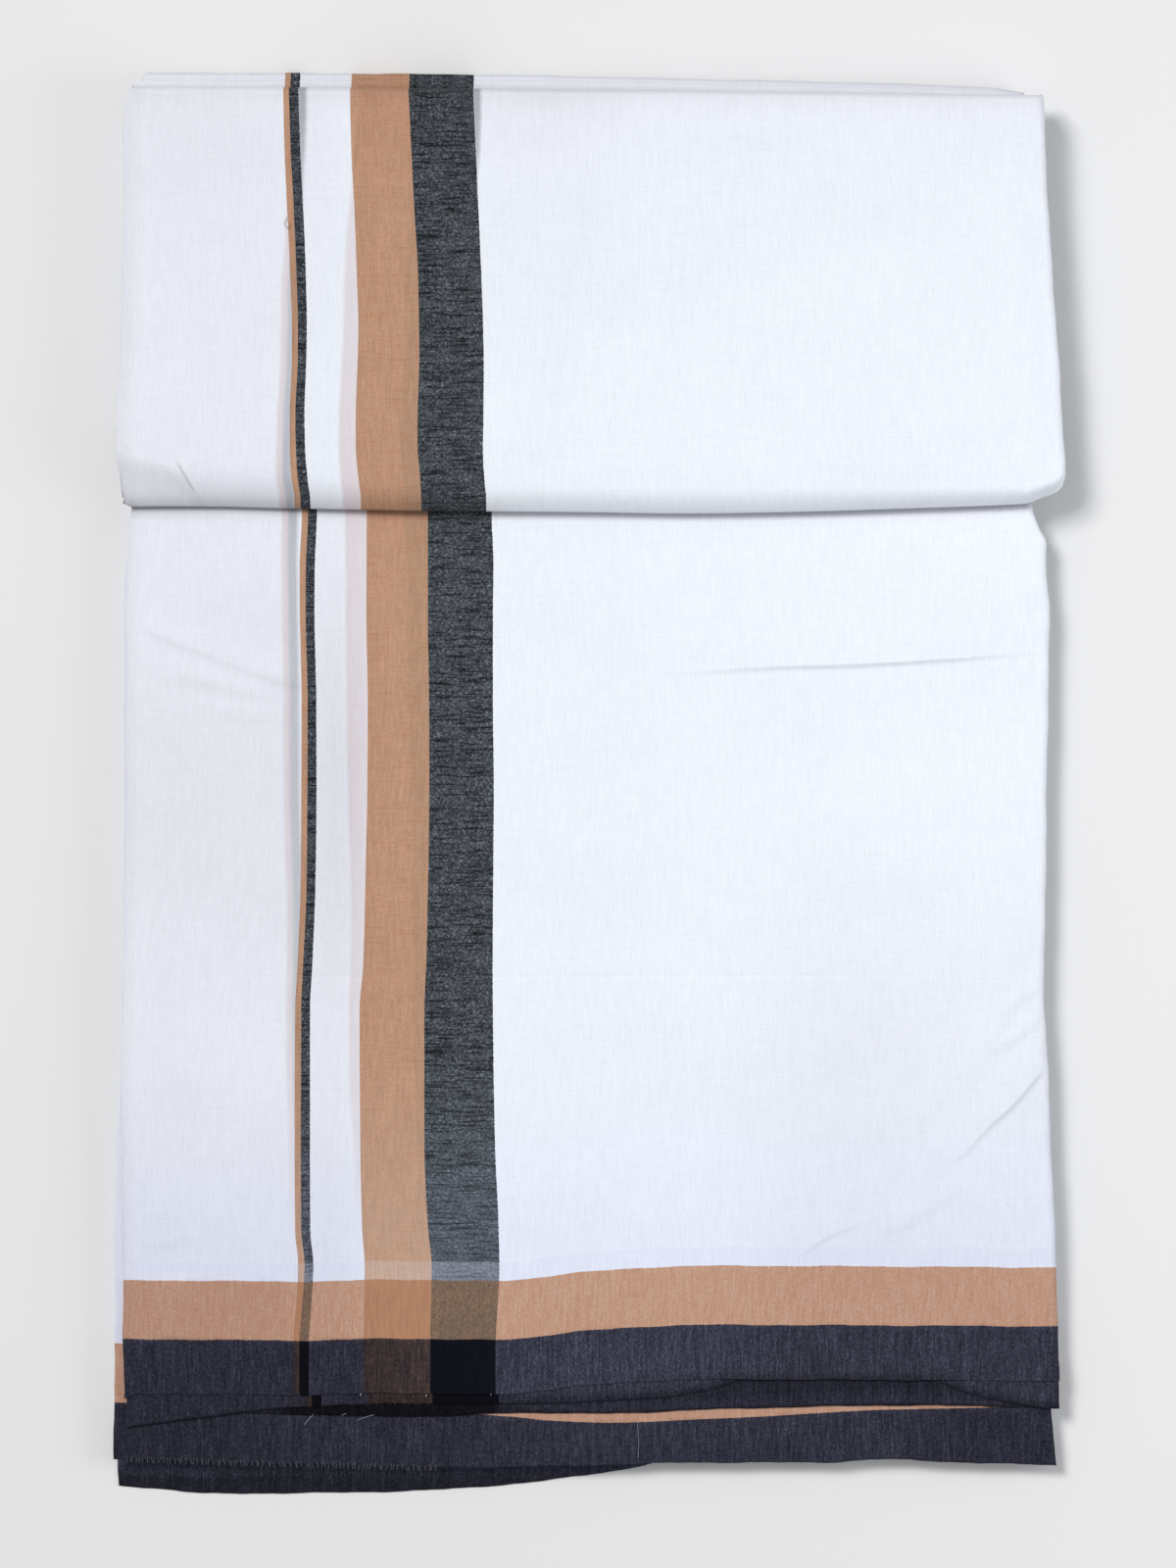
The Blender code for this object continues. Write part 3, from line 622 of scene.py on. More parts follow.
def crease_height(creases, x, y):
    """How much the creases raise each point. Each one's cross-section is a bell, steep on its right
    and gentle on its left, and it rises and fades along its length."""
    total = np.zeros_like(x)
    for crease in creases:
        points = bent(crease.points)
        runs = np.diff(points, axis=0)
        lengths = np.hypot(*runs.T)
        starts = np.concatenate([[0.0], np.cumsum(lengths)])
        nearest = np.full_like(x, 1e9)
        side = np.zeros_like(x)
        way = np.zeros_like(x)
        for point, run, length, start in zip(points, runs, lengths, starts):
            dx, dy = x - point[0], y - point[1]
            t = np.clip((dx * run[0] + dy * run[1]) / length**2, 0.0, 1.0)
            away = np.hypot(dx - t * run[0], dy - t * run[1])
            closer = away < nearest
            nearest = np.where(closer, away, nearest)
            side = np.where(closer, run[0] * dy - run[1] * dx, side)
            way = np.where(closer, (start + t * length) / starts[-1], way)
        width = np.where(side > 0.0, crease.gentle, crease.steep)
        fade = smooth(way / crease.start) * smooth((1.0 - way) / crease.stop)
        total += crease.height * fade * bell(nearest, width)
    return total


def shaded(shades, x, y, from_end=None):
    """How much a table of shades darkens each point: the sum of each one's most, times its ramps."""
    total = np.zeros_like(x)
    for shade in shades:
        part = shade.most
        for place, reach in ((x, shade.across), (y, shade.up), (from_end, shade.from_end)):
            if reach:
                part = part * ramp(place, *reach)
        total = total + part
    return total


# --- Threads: where a point lies in the weave ----------------------------------------------------


def across_stripes(stripes, x, y):
    """U in millimetres: x from the stripes' left edge, stretched a little within each stripe so that
    every stripe keeps its woven width."""
    if stripes is None:
        return x + NO_STRIPES
    edges = [soft_line(stripes[::-1], "y", name, y) for name in Stripes._fields[1:]]
    u = x - edges[0]
    for left, right, width in zip(edges, edges[1:], STRIPE_WIDTHS):
        u = u + (width / (right - left) - 1.0) * np.clip(x - left, 0.0, right - left)
    return u


def up_from_end(end, x, y):
    """V in millimetres: the way up from the ply's own end. The weft is parallel to the end near it,
    and runs straight across further up."""
    own = y - end(np.clip(x, -154.0, 154.0))
    straight = y - end(np.zeros_like(x))
    away = smooth((own - BORDER_FOLLOWS_END) / (BORDER_RUNS_STRAIGHT - BORDER_FOLLOWS_END))
    return own * (1.0 - away) + straight * away


def in_black_band(v):
    """1 within the border's black band and 0 above it."""
    return 1.0 - smooth((v - BLACK_BAND + 0.5) / 0.5)


def seen_below(below, u, y):
    """How far the ply below is shifted aside, and how strongly its stripes show through."""
    thin, wide, strength = (soft_line(below[::-1], "y", name, y) for name in Below._fields[1:])
    return thin + (wide - thin) * ramp(u, 6.0, 20.0), strength


def rim_shade(sides, x, y, most, width):
    """The painted shade along a folded left edge: most on the edge, and 0 a width inside."""
    return most * (1.0 - smooth((x - left_of(sides, y)) / width))


# --- Meshes --------------------------------------------------------------------------------------


def grid_faces(rows, columns):
    """Quads between neighbouring points of a grid, stored row after row, with their faces upward."""
    corner = (np.arange(rows - 1)[:, None] * columns + np.arange(columns - 1)).ravel()
    return np.stack([corner, corner + columns, corner + columns + 1, corner + 1], axis=1)


def add_mesh(name, points, faces, threads, below=None, ground=None):
    """A mesh from whole arrays, in millimetres. Its threads, and the threads of the ply below it, are UV
    maps for each face corner. Painted shade is how much a point's colour is darkened to stand for shade."""
    mesh = bpy.data.meshes.new(name)
    mesh.from_pydata((points * MM).tolist(), [], faces.tolist())
    mesh.update()
    for title, values in (("Threads", threads), ("Below", below)):
        if values is None:
            continue
        layer = mesh.uv_layers.new(name=title)
        layer.uv.foreach_set("vector", values.astype(np.float32).ravel())
    if ground is not None:
        dark = mesh.attributes.new("ground", "FLOAT", "POINT")
        dark.data.foreach_set("value", np.broadcast_to(ground, len(points)).astype(np.float32))
    mesh.shade_smooth()
    made = bpy.data.objects.new(name, mesh)
    bpy.context.scene.collection.objects.link(made)
    return made


def lay_cloth(name, x, y, z, u, v, below, ground, thickness):
    """A sheet whose upper face is the grid x, y, z, with its wall below that."""
    faces = grid_faces(*x.shape)
    corners = faces.ravel()
    points = np.stack([x, y, z], axis=2).reshape(-1, 3)
    threads = np.stack([u.ravel(), v.ravel()], axis=1)[corners] * MM
    if below is None:
        below = (u, np.zeros_like(u))
    shift, strength = below
    under = np.stack([(u - shift).ravel() * MM, np.broadcast_to(strength, u.shape).ravel()], axis=1)
    dark = np.broadcast_to(ground, u.shape).ravel()
    made = add_mesh(name, points, faces, threads, under[corners], dark)
    wall = made.modifiers.new("Cloth", "SOLIDIFY")
    wall.thickness = thickness * MM
    wall.offset = -1.0
    wall.use_rim = True
    return made


def finish_cloth(made, node):
    """Hangs a sheet in the frame: gives it the cotton, hangs it on the root body, and hides the node
    that it stands for."""
    made.data.materials.append(bpy.data.materials[COTTON])
    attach(made, "root")
    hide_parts(node)


# --- The plies -----------------------------------------------------------------------------------


def columns_across(middle, roll, tuck):
    """Columns of a ply with a folded edge down each side: its share of the width, its shift from the
    edge and its drop. The edge is a quarter circle, and under it a smaller one turns back inward."""
    over = np.linspace(0.0, np.pi / 2.0, 9)
    under = np.radians(np.linspace(-75.0, 0.0, 5))[:-1]
    shift = np.concatenate([tuck * (1.0 - np.cos(under)), roll * (1.0 - np.cos(over))])
    drop = np.concatenate([roll - tuck * np.sin(under), roll * (1.0 - np.sin(over))])
    inner = middle[1:-1]
    zero = np.zeros_like(shift)
    return (
        np.concatenate([zero, inner, zero + 1.0]),
        np.concatenate([shift, roll * (1.0 - 2.0 * inner), -shift[::-1]]),
        np.concatenate([drop, 0.0 * inner, drop[::-1]]),
    )


def spread(sides, guides, rows, share, shift):
    """x and y of a ply: columns run from side to side, rows from the first guide line to the last, and
    every guide between is a row of its own."""
    along = [bunched(each)[min(place, 1) :, None] for place, each in enumerate(rows)]
    y = np.zeros((sum(len(each) for each in along), len(share)))
    x = np.zeros_like(y)
    for _ in range(4):
        x = left_of(sides, y) * (1.0 - share) + right_of(sides, y) * share + shift
        parts, first = [], 0
        for upper, lower, t in zip(guides, guides[1:], along):
            here = x[first : first + len(t)]
            parts.append(upper(here) * (1.0 - t) + lower(here) * t)
            first += len(t)
        y = np.concatenate(parts)
    return x, y


def line_of(edge):
    """A fold or a guide line as a function of x."""
    return lambda x: end_of(edge, x)


def ply_back(x):
    """The line under the flap where the plies of the panel meet the stem of the hidden layers."""
    return end_of(CREASE, x) - STEM_BEHIND_CREASE - STEM_LENGTH - 0.6


def pressed(x, y):
    """0 up the pile, and 1 where the ends lie pressed flat on each other."""
    return 1.0 - smooth((y - end_of(PANEL_END, x)) / PRESSED_LENGTH)


def end_turned(end, x, y):
    """A ply's own last few millimetres, which turn down onto the ply below."""
    return END_DROP * (1.0 - smooth((y - end(x)) / END_TURN))


def free_of_edges(sides, x, y, start, full):
    """0 on a ply's rolled side edges, up to a start, and 1 from where it's full, further in."""
    to_side = np.minimum(x - left_of(sides, y), right_of(sides, y) - x)
    return smooth((to_side - start) / (full - start))


def panel_lift(x, y):
    """How far the front panel stands off the ply below it: a slow swell, and its creases."""
    swell = PANEL_SWELL * (0.55 + 0.45 * np.sin(x / 31.0 + 0.6) * np.cos(y / 47.0))
    small = 0.10 * np.sin(x / 11.0 + y / 17.0) * np.sin(y / 13.0 - x / 29.0)
    under_flap = smooth((end_of(NOSE, x) - y) / SWELL_FADE)
    at_end = smooth((y - end_of(PANEL_END, x)) / SWELL_FADE)
    swell = np.maximum(swell + small, 0.0) * at_end * free_of_edges(PANEL_SIDES, x, y, *SWELL_INSIDE)
    creases = crease_height(PANEL_CREASES, x, y) * free_of_edges(PANEL_SIDES, x, y, *CREASES_INSIDE)
    return under_flap * (swell + creases)


def shade_by_nose(x, y):
    """The painted shade of the gap under the flap's nose, on the panel beside it: a bell on the nose's
    line, darker towards both sides, and wider at the left."""
    most = NOSE_GAP_SHADE + NOSE_GAP_SIDES_SHADE * smooth(np.abs(x) / 150.0)
    return most * bell(end_of(NOSE, x) - y, 1.8 + 0.3 * ramp(x, -90.0, -140.0))


def panel_painted_shade(x, y, v, from_end):
    """The painted shade on the front panel: in its black band, and over all of it, most half way up and
    in a strip left of the wide stripes, with the shade of the gap under the nose and of the left edge."""
    half_way = bell(y + 5.0, 62.0)
    # Painted shade over the whole panel: the tables, the gap under the nose and the left edge.
    layers = shaded(PANEL_SHADES, x, y) + shade_by_nose(x, y) + rim_shade(PANEL_SIDES, x, y, *PANEL_RIM_SHADE)
    left, strip = ramp(x, -70.0, -90.0), bell(x + 84.0, 9.0)
    layers = layers + half_way * (HALF_WAY_LEFT_SHADE * left + HALF_WAY_STRIP_SHADE * strip)
    layers = layers + shaded(PANEL_BANDS_SHADES, x, y) * (v < BROWN_BAND)
    return np.maximum(in_black_band(v) * shaded(PANEL_BORDER_SHADES, x, y, from_end), layers)


def front_panel(thickness):
    """The top ply below the flap, with its stripes, its border and its creases."""
    share, shift, drop = columns_across(shares(PANEL_COLUMNS), ROLL, TUCK)
    end = end_line(PANEL_END, 3)
    followed = (NOSE, LONG_GUIDE, PRESSED_GUIDE, LOW_GUIDE)
    guides = (ply_back, *(line_of(edge) for edge in followed), end)
    x, y = spread(PANEL_SIDES, guides, PANEL_ROWS, share, shift)
    from_end = y - end(x)
    rolled = smooth((from_end - FLAT_END) / ROLL_FADE)
    z = PANEL_TOP - PANEL_PRESSED * pressed(x, y) - end_turned(end, x, y)
    z = z - drop * rolled + panel_lift(x, y) + wander(x, 0.06, 5) * pressed(x, y)
    u = across_stripes(PANEL_STRIPES, x, y)
    v = up_from_end(end, x, y)
    dark = panel_painted_shade(x, y, v, from_end)
    below = seen_below(PANEL_BELOW, u, y)
    return lay_cloth("front_panel_cloth", x, y, z, u, v, below, dark, thickness)


def covered_ply(name, top, press, edge, stripes, shades, seed, thickness):
    """A ply under the front panel: clear of the panel's rolls, and past its end as wide as it is."""
    share = shares(PLY_COLUMNS)
    end = end_line(edge, seed)
    x, y = spread(PANEL_SIDES, (ply_back, end), COVERED_ROWS, share, 0.0)
    covered = ramp(y - end_of(PANEL_END, x), 3.0, 9.0)
    inset = SHOWN_INSET + (COVERED_INSET - SHOWN_INSET) * covered
    x = x + inset * (1.0 - 2.0 * share)
    z = top - press * pressed(x, y) - end_turned(end, x, y) + wander(x, 0.08, seed) * pressed(x, y)
    u = across_stripes(stripes, x, y)
    v = up_from_end(end, x, y)
    # Painted shade, on the black band only.
    dark = shaded(shades, x, y, y - end_of(edge, x)) * in_black_band(v)
    return lay_cloth(name, x, y, z, u, v, None, dark, thickness)


def fourth_ply(thickness):
    """The ply whose end border and left edge show past the panel. It bends down at its end."""
    share, shift, drop = columns_across(shares(PLY_COLUMNS), FOURTH_ROLL, FOURTH_TUCK)
    end = end_line(FOURTH_END, 7)
    x, y = spread(FOURTH_SIDES, (ply_back, end), FOURTH_ROWS, share, shift)
    from_end = y - end(x)
    past = smooth((FOURTH_BEND - from_end) / FOURTH_BEND)
    z = FOURTH_TOP - FOURTH_PRESSED * pressed(x, y) - FOURTH_DROP * past - drop * (1.0 - past)
    z = z + wander(x, 0.12, 8) * past
    border = end_of(FOURTH_BORDER, x)
    band = BLACK_BAND * from_end / (border - end(x))
    v = np.where(y < border, band, BLACK_BAND + y - border)
    # Painted shade: the black band's, a little on the brown band, and on the left edge.
    dark = shaded(FOURTH_SHADES, x, y)
    dark = FOURTH_BROWN_SHADE + (dark - FOURTH_BROWN_SHADE) * in_black_band(v)
    dark = np.maximum(dark, rim_shade(FOURTH_SIDES, x, y, *FOURTH_RIM_SHADE))
    u = across_stripes(None, x, y)
    return lay_cloth("fourth_ply_cloth", x, y, z, u, v, None, dark, thickness)


def lowest_ply(thickness):
    """The ply that lies on the surface, all under the pile. Past the fourth ply's end it is painted with
    shade, more on its lower part, and not where it already lies in deep shade."""
    end = end_line(LOWEST_END, 9)

    def back(x):
        return end_of(OUTER_FOLD, x) - 2.0

    x, y = spread(LOWEST_SIDES, (back, end), LOWEST_ROWS, shares(PLY_COLUMNS), 0.0)
    z = LOWEST_TOP + crease_height(UNDERSIDE_CREASES, x, y)
    u = across_stripes(None, x, y)
    v = up_from_end(end, x, y)
    past = end_of(FOURTH_END, x) - y
    upper_part = np.clip((-60.0 - x) / 12.0, 0.0, 5.7)
    dark = LOWEST_SHADE + LOWEST_LOWER_SHADE * smooth((past - upper_part) / 0.8)
    dark = dark * ramp(past, 1.5, 5.5)
    return lay_cloth("lowest_ply_cloth", x, y, z, u, v, None, dark * in_black_band(v), thickness)


def facet_top(x):
    """The facet's upper edge, which leans down to the right."""
    return FACET_TOP - FACET_LEAN * (x + 161.0)


def left_of_facet_line(x, y):
    """How far a point lies to the left of the slanted crease that bounds the facet."""
    return FACET_RIGHT + FACET_SLANT * (FACET_TOP - y) - x


def facet(x, y):
    """1 within the facet at the flap's lower left corner, and 0 outside it."""
    return smooth(left_of_facet_line(x, y) + 0.5) * smooth((facet_top(x) - y) / 4.0)


def at_left(x):
    """0 over most of the flap, growing to 1 at its left."""
    return ramp(x, -60.0, -115.0)


def nose_shape(x):
    """The flap's nose at x: its depth, how far it falls, and half the height of the round lip below."""
    depth = NOSE_DEPTH + LEFT_NOSE_DEPTH * at_left(x) + RIGHT_NOSE_DEPTH * ramp(x, 60.0, 140.0)
    depth = depth + CORNER_NOSE_DEPTH * ramp(x, 140.0, 152.0)
    fall = NOSE_FALL + LEFT_NOSE_FALL * at_left(x)
    return depth, fall, (FLAP_TOP - fall - FLAP_UNDER) / (1.0 + np.sin(NOSE_TURN))


def nose_slope(x, y):
    """How far the flap's top has fallen towards its nose: a steep power curve, and in the facet one
    that is nearly straight."""
    depth, fall, _ = nose_shape(x)
    way = y - end_of(NOSE, x) - NOSE_START
    plain_depth = facet_top(x) - end_of(NOSE, x)
    curve = np.clip(1.0 - way / (depth - NOSE_START), 0.0, 1.0) ** NOSE_POWER
    plain = np.clip(1.0 - way / (plain_depth - NOSE_START), 0.0, 1.0) ** FACET_POWER
    return fall * (curve + (plain - curve) * smooth(left_of_facet_line(x, y) / 6.0))


def flap(thickness):
    """The ply round the turned end: up over its crease, down to its nose, and back under it. The
    crease is half an ellipse. The nose falls in a power curve, goes over into the ellipse of its lip
    above the front panel, and turns in under itself."""
    share, shift, drop = columns_across(shares(FLAP_COLUMNS), ROLL, TUCK)
    bend = np.radians(np.linspace(-78.0, 86.0, 22))
    level = lines(FLAP_ROWS)
    lip = np.linspace(NOSE_TURN, -np.pi / 2.0, 26)[1:]
    tuck = NOSE_TUCK * np.linspace(0.0, 1.0, 6)[1:]
    # Each row's part of the flap, its way from crease to nose, its distance inward, and its angle.
    parts = (
        (0, 0.0 * bend, CREASE_DEPTH * (1.0 - np.cos(bend)), bend),
        (1, level, CREASE_DEPTH * (1.0 - level) - NOSE_START * level, 0.0 * level + np.pi / 2.0),
        (2, 0.0 * lip + 1.0, -NOSE_BULGE * (1.0 - np.cos(lip)), lip),
        (2, 0.0 * tuck + 1.0, -NOSE_BULGE - tuck, 0.0 * tuck - np.pi / 2.0),
    )
    part, way, inward, angle = (
        np.concatenate([np.broadcast_to(row[place], row[1].shape) for row in parts])[:, None]
        for place in range(4)
    )

    y = way * 0.0 + np.zeros_like(share) + 160.0
    for _ in range(4):
        x = left_of(FLAP_SIDES, y) * (1.0 - share) + right_of(FLAP_SIDES, y) * share + shift
        y = end_of(CREASE, x) * (1.0 - way) + end_of(NOSE, x) * way - inward

    half = nose_shape(x)[2]
    crease_half = (FLAP_TOP - CREASE_FOOT) / 2.0
    z = np.select(
        [part == 0, part == 1],
        [
            FLAP_TOP - crease_half * (1.0 - np.sin(angle)) + 0.0 * x,
            FLAP_TOP - nose_slope(x, y),
        ],
        FLAP_UNDER + half * (1.0 + np.sin(angle)),
    )
    rise = np.clip(np.sin(angle) / np.where(part == 2, np.sin(NOSE_TURN), 1.0), 0.0, 1.0)
    z = z - drop * rise + flap_lift(x, y) * rise**4

    middle_column = len(share) // 2
    path = np.hypot(np.diff(y[:, middle_column]), np.diff(z[:, middle_column]))
    v = PAST_BORDER + np.concatenate([[0.0], np.cumsum(path)])[:, None] + 0.0 * x
    u = across_stripes(FLAP_STRIPES, x, y)
    # Painted shade: the flap's own, and more on the underside of its lip.
    dark = flap_painted_shade(x, y) + np.where(part == 2, NOSE_UNDER_SHADE * ramp(np.sin(angle), 0.6, -0.4), 0.0)
    return lay_cloth("flap_cloth", x, y, z, u, v, seen_below(FLAP_BELOW, u, y), dark, thickness)


def flap_painted_shade(x, y):
    """The painted shade on the flap: at its left, along its left edge, on the left of its nose, in the
    facet, in the pinched crease and below its upper crease."""
    dark = shaded(FLAP_PAINTED_SHADES, x, y) + rim_shade(FLAP_SIDES, x, y, *FLAP_RIM_SHADE)
    dark = dark + NOSE_LEFT_SHADE * at_left(x) * bell(y - end_of(NOSE, x), 3.0)
    dark = dark + FACET_SHADE * facet(x, y)
    return dark + crease_height(FLAP_PINCH_SHADES, x, y) + shade_below_crease(x, y)


def flap_lift(x, y):
    """How far the flap's top stands off the layers in it: its swell, its creases, and at the left a
    small step down to the ply which lies a little further out."""
    swell = FLAP_SWELL * (0.75 + 0.25 * np.cos(x / 43.0) * np.sin(y / 29.0))
    small = 0.08 * np.sin(x / 12.0 - y / 19.0) * np.sin(y / 11.0 + x / 31.0)
    swell = np.maximum(swell + small, 0.0) * free_of_edges(FLAP_SIDES, x, y, *SWELL_INSIDE)
    creases = crease_height(FLAP_CREASES, x, y) * free_of_edges(FLAP_SIDES, x, y, *CREASES_INSIDE)
    from_nose = smooth((y - end_of(NOSE, x)) / (2.0 * NOSE_DEPTH))
    from_crease = smooth((end_of(CREASE, x) - y) / (2.0 * NOSE_DEPTH))
    on_step = 1.0 - ramp(x - left_of(FLAP_SIDES, y), 2.6, 4.0)
    step = LEFT_STEP * on_step * ramp(from_nose, 0.3, 0.8)
    return (swell + creases) * from_nose * from_crease - step


def shade_below_crease(x, y):
    """The painted shade on the flap below its upper crease: the sum of its fades, and less at the left.
    """
    past = np.maximum(end_of(CREASE, x) - y, 0.0)
    most, length = CREASE_EVEN_FADE
    dark = most * np.maximum(1.0 - past / length, 0.0)
    for most, length in CREASE_FADES:
        dark = dark + most * np.exp(-past / length)
    most, length = CREASE_MIDDLE_FADE
    dark = dark + most * bell(x + 18.0, 32.0) * np.exp(-past / length)
    return dark * (1.0 - LESS_AT_LEFT * ramp(x, -95.0, -110.0))


def top_fold(name, edge, heights, seed, thickness):
    """A folded edge above the flap. Its cross-section is half an ellipse with a soft groove between each
    leaf and the next, and a short leg runs inward above and below. It is painted with shade all over,
    and more along the outer edge and by the flap."""
    foot, head = heights
    rise = np.linspace(0.0, 1.0, 8 * TOP_FOLD_LEAVES + 1)
    bulge = np.sqrt(np.maximum(1.0 - (2.0 * rise - 1.0) ** 2, 0.0)) ** 0.5
    groove = TOP_FOLD_GROOVE * (1.0 - np.sqrt(np.abs(np.sin(np.pi * TOP_FOLD_LEAVES * rise))))
    inward = TOP_FOLD_DEPTH - (TOP_FOLD_DEPTH - groove) * bulge
    inward = np.concatenate([[TOP_FOLD_LEG], inward, [TOP_FOLD_LEG]])[::-1, None]
    height = (foot + (head - foot) * np.concatenate([[0.0], rise, [1.0]]))[::-1, None]
    xs = np.linspace(edge[0].x, edge[-1].x, 180)
    x = np.broadcast_to(xs, (len(inward), len(xs)))
    y = end_of(edge, x) - inward + wander(x, 0.2, seed)
    waver = wander(xs, 0.08, seed + 1) * np.sin(np.pi * (height - foot) / (head - foot))
    z = np.broadcast_to(height + waver, x.shape)
    u = across_stripes(FLAP_STRIPES, x, np.full_like(x, FLAP_STRIPES[0].y))
    path = np.hypot(np.diff(y[:, 0]), np.diff(z[:, 0]))
    v = 2.0 * PAST_BORDER + np.concatenate([[0.0], np.cumsum(path)])
    at_edge = ramp(y - end_of(OUTER_FOLD, x), -1.1, -0.3)
    by_flap = ramp(y - end_of(CREASE, x), 1.2, 0.2)
    dark = TOP_FOLD_SHADE + TOP_FOLD_EDGE_SHADE * at_edge + TOP_FOLD_BY_FLAP_SHADE * by_flap
    return lay_cloth(name, x, y, z, u, v[:, None] + 0.0 * x, None, dark, thickness)


# --- The hidden layers ---------------------------------------------------------------------------


def ring(z, left, right, back, front, corner):
    """Points round one level: a smaller outline, each point moved out by the corner's radius."""
    across = np.linspace(0.0, 1.0, 130)
    down = np.linspace(0.0, 1.0, 170)
    turn = np.radians([15.0, 30.0, 45.0, 60.0, 75.0])
    spots = []
    for share, along, start in (
        (across, 0.0 * across, 90.0),
        (1.0 + 0.0 * down, down, 0.0),
        (across[::-1], 1.0 + 0.0 * across, -90.0),
        (0.0 * down, down[::-1], -180.0),
    ):
        facing = np.full(len(share), np.radians(start))
        spots.append(np.stack([share, along, facing]))
        corner_share = np.full(len(turn), share[-1])
        spots.append(np.stack([corner_share, np.full(len(turn), along[-1]), np.radians(start) - turn]))
    share, along, facing = np.concatenate(spots, axis=1)
    y = back(0.0) + (front(0.0) - back(0.0)) * along
    x = 0.0 * y
    for _ in range(3):
        x = (left(y) + corner) * (1.0 - share) + (right(y) - corner) * share
        y = (back(x) - corner) * (1.0 - along) + (front(x) + corner) * along
    x, y = x + corner * np.cos(facing), y + corner * np.sin(facing)
    return np.stack([x, y, np.full_like(x, z)], axis=1)


def leaf_levels(foot, head):
    """(leaf, height, groove) of each ring in a bundle. A leaf's edge is half a circle, so its groove
    is one less the root of one less its height squared."""
    levels = []
    for leaf in range(LEAVES):
        for rise in LEAF_RISES:
            groove = LEAF_GROOVE * (1.0 - np.sqrt(1.0 - (2.0 * rise - 1.0) ** 2))
            levels.append((leaf, foot + (head - foot) * (leaf + rise) / LEAVES, groove))
    levels.append((LEAVES - 1, head, LEAF_GROOVE))
    return levels


def behind(along, step, size, waver, seed):
    """How far a leaf's edge lies behind the others: its own step, and its waver along the edge."""
    return size * (1.0 + step) + np.abs(wander(along, waver, seed))


def lower_ring(leaf, z, groove):
    """One level of the pile's leaves, behind the edges of the plies that show."""

    def left(y):
        uneven = behind(y, np.sin(2.3 * leaf), 0.5, 0.7, 20 + leaf)
        return left_of(FOURTH_SIDES, y) + BUNDLE_BEHIND_SIDE + groove + uneven

    def right(y):
        uneven = behind(y, np.cos(1.9 * leaf), 0.5, 0.7, 30 + leaf)
        return right_of(FOURTH_SIDES, y) - BUNDLE_BEHIND_SIDE - groove - uneven

    def back(x):
        return np.minimum(end_of(INNER_FOLD, x), end_of(OUTER_FOLD, x)) - BUNDLE_BEHIND_FOLDS - groove

    def front(x):
        uneven = behind(x, np.sin(1.3 * leaf + 0.8), 1.2, 0.8, 40 + leaf)
        return end_of(FOURTH_END, x) + BUNDLE_BEHIND_END + groove + uneven

    return ring(z, left, right, back, front, BUNDLE_CORNER)


def stem_ring(z):
    """One level of the stem, inside the flap's crease, that joins the pile and the flap's layers."""

    def left(y):
        return left_of(FLAP_SIDES, y) + STEM_BEHIND_SIDE

    def right(y):
        return right_of(FLAP_SIDES, y) - STEM_BEHIND_SIDE

    def back(x):
        return end_of(CREASE, x) - STEM_BEHIND_CREASE

    def front(x):
        return back(x) - STEM_LENGTH

    return ring(z, left, right, back, front, STEM_CORNER)


def flap_ring(leaf, z, groove):
    """One level of the leaves in the flap, which follow its nose: the slope of its top, and its lip."""
    rise = (z - FLAP_BUNDLE_FOOT) / (FLAP_BUNDLE_TOP - FLAP_BUNDLE_FOOT)
    inside = FLAP_BUNDLE_INSET + groove
    shoulder = 1.6 * ramp(rise, 0.7, 1.0)

    def left(y):
        uneven = behind(y, np.sin(2.9 * leaf), 0.4, 0.6, 50 + leaf)
        return left_of(FLAP_SIDES, y) + inside + uneven + shoulder

    def right(y):
        uneven = behind(y, np.cos(2.2 * leaf), 0.4, 0.6, 60 + leaf)
        return right_of(FLAP_SIDES, y) - inside - uneven - shoulder

    def back(x):
        return end_of(CREASE, x) - STEM_BEHIND_CREASE

    def front(x):
        depth, fall, half = nose_shape(x)
        in_facet = ramp(x, -129.0, -132.0)
        depth = depth + 1.5 * in_facet
        power = NOSE_POWER + (FACET_POWER - NOSE_POWER) * in_facet
        fallen = np.clip((FLAP_TOP - z) / fall, 0.0, 1.0) ** (1.0 / power)
        slope = depth - fallen * (depth - NOSE_START)
        above_middle = np.clip((z - FLAP_UNDER) / half - 1.0, -1.0, 1.0)
        lip = NOSE_BULGE * (1.0 - np.sqrt(1.0 - above_middle**2))
        inset = FLAP_BUNDLE_BEHIND_NOSE + 1.2 * at_left(x)
        return end_of(NOSE, x) + np.where(z > FLAP_TOP - fall, slope, lip) + inset

    return ring(z, left, right, back, front, FLAP_BUNDLE_CORNER)


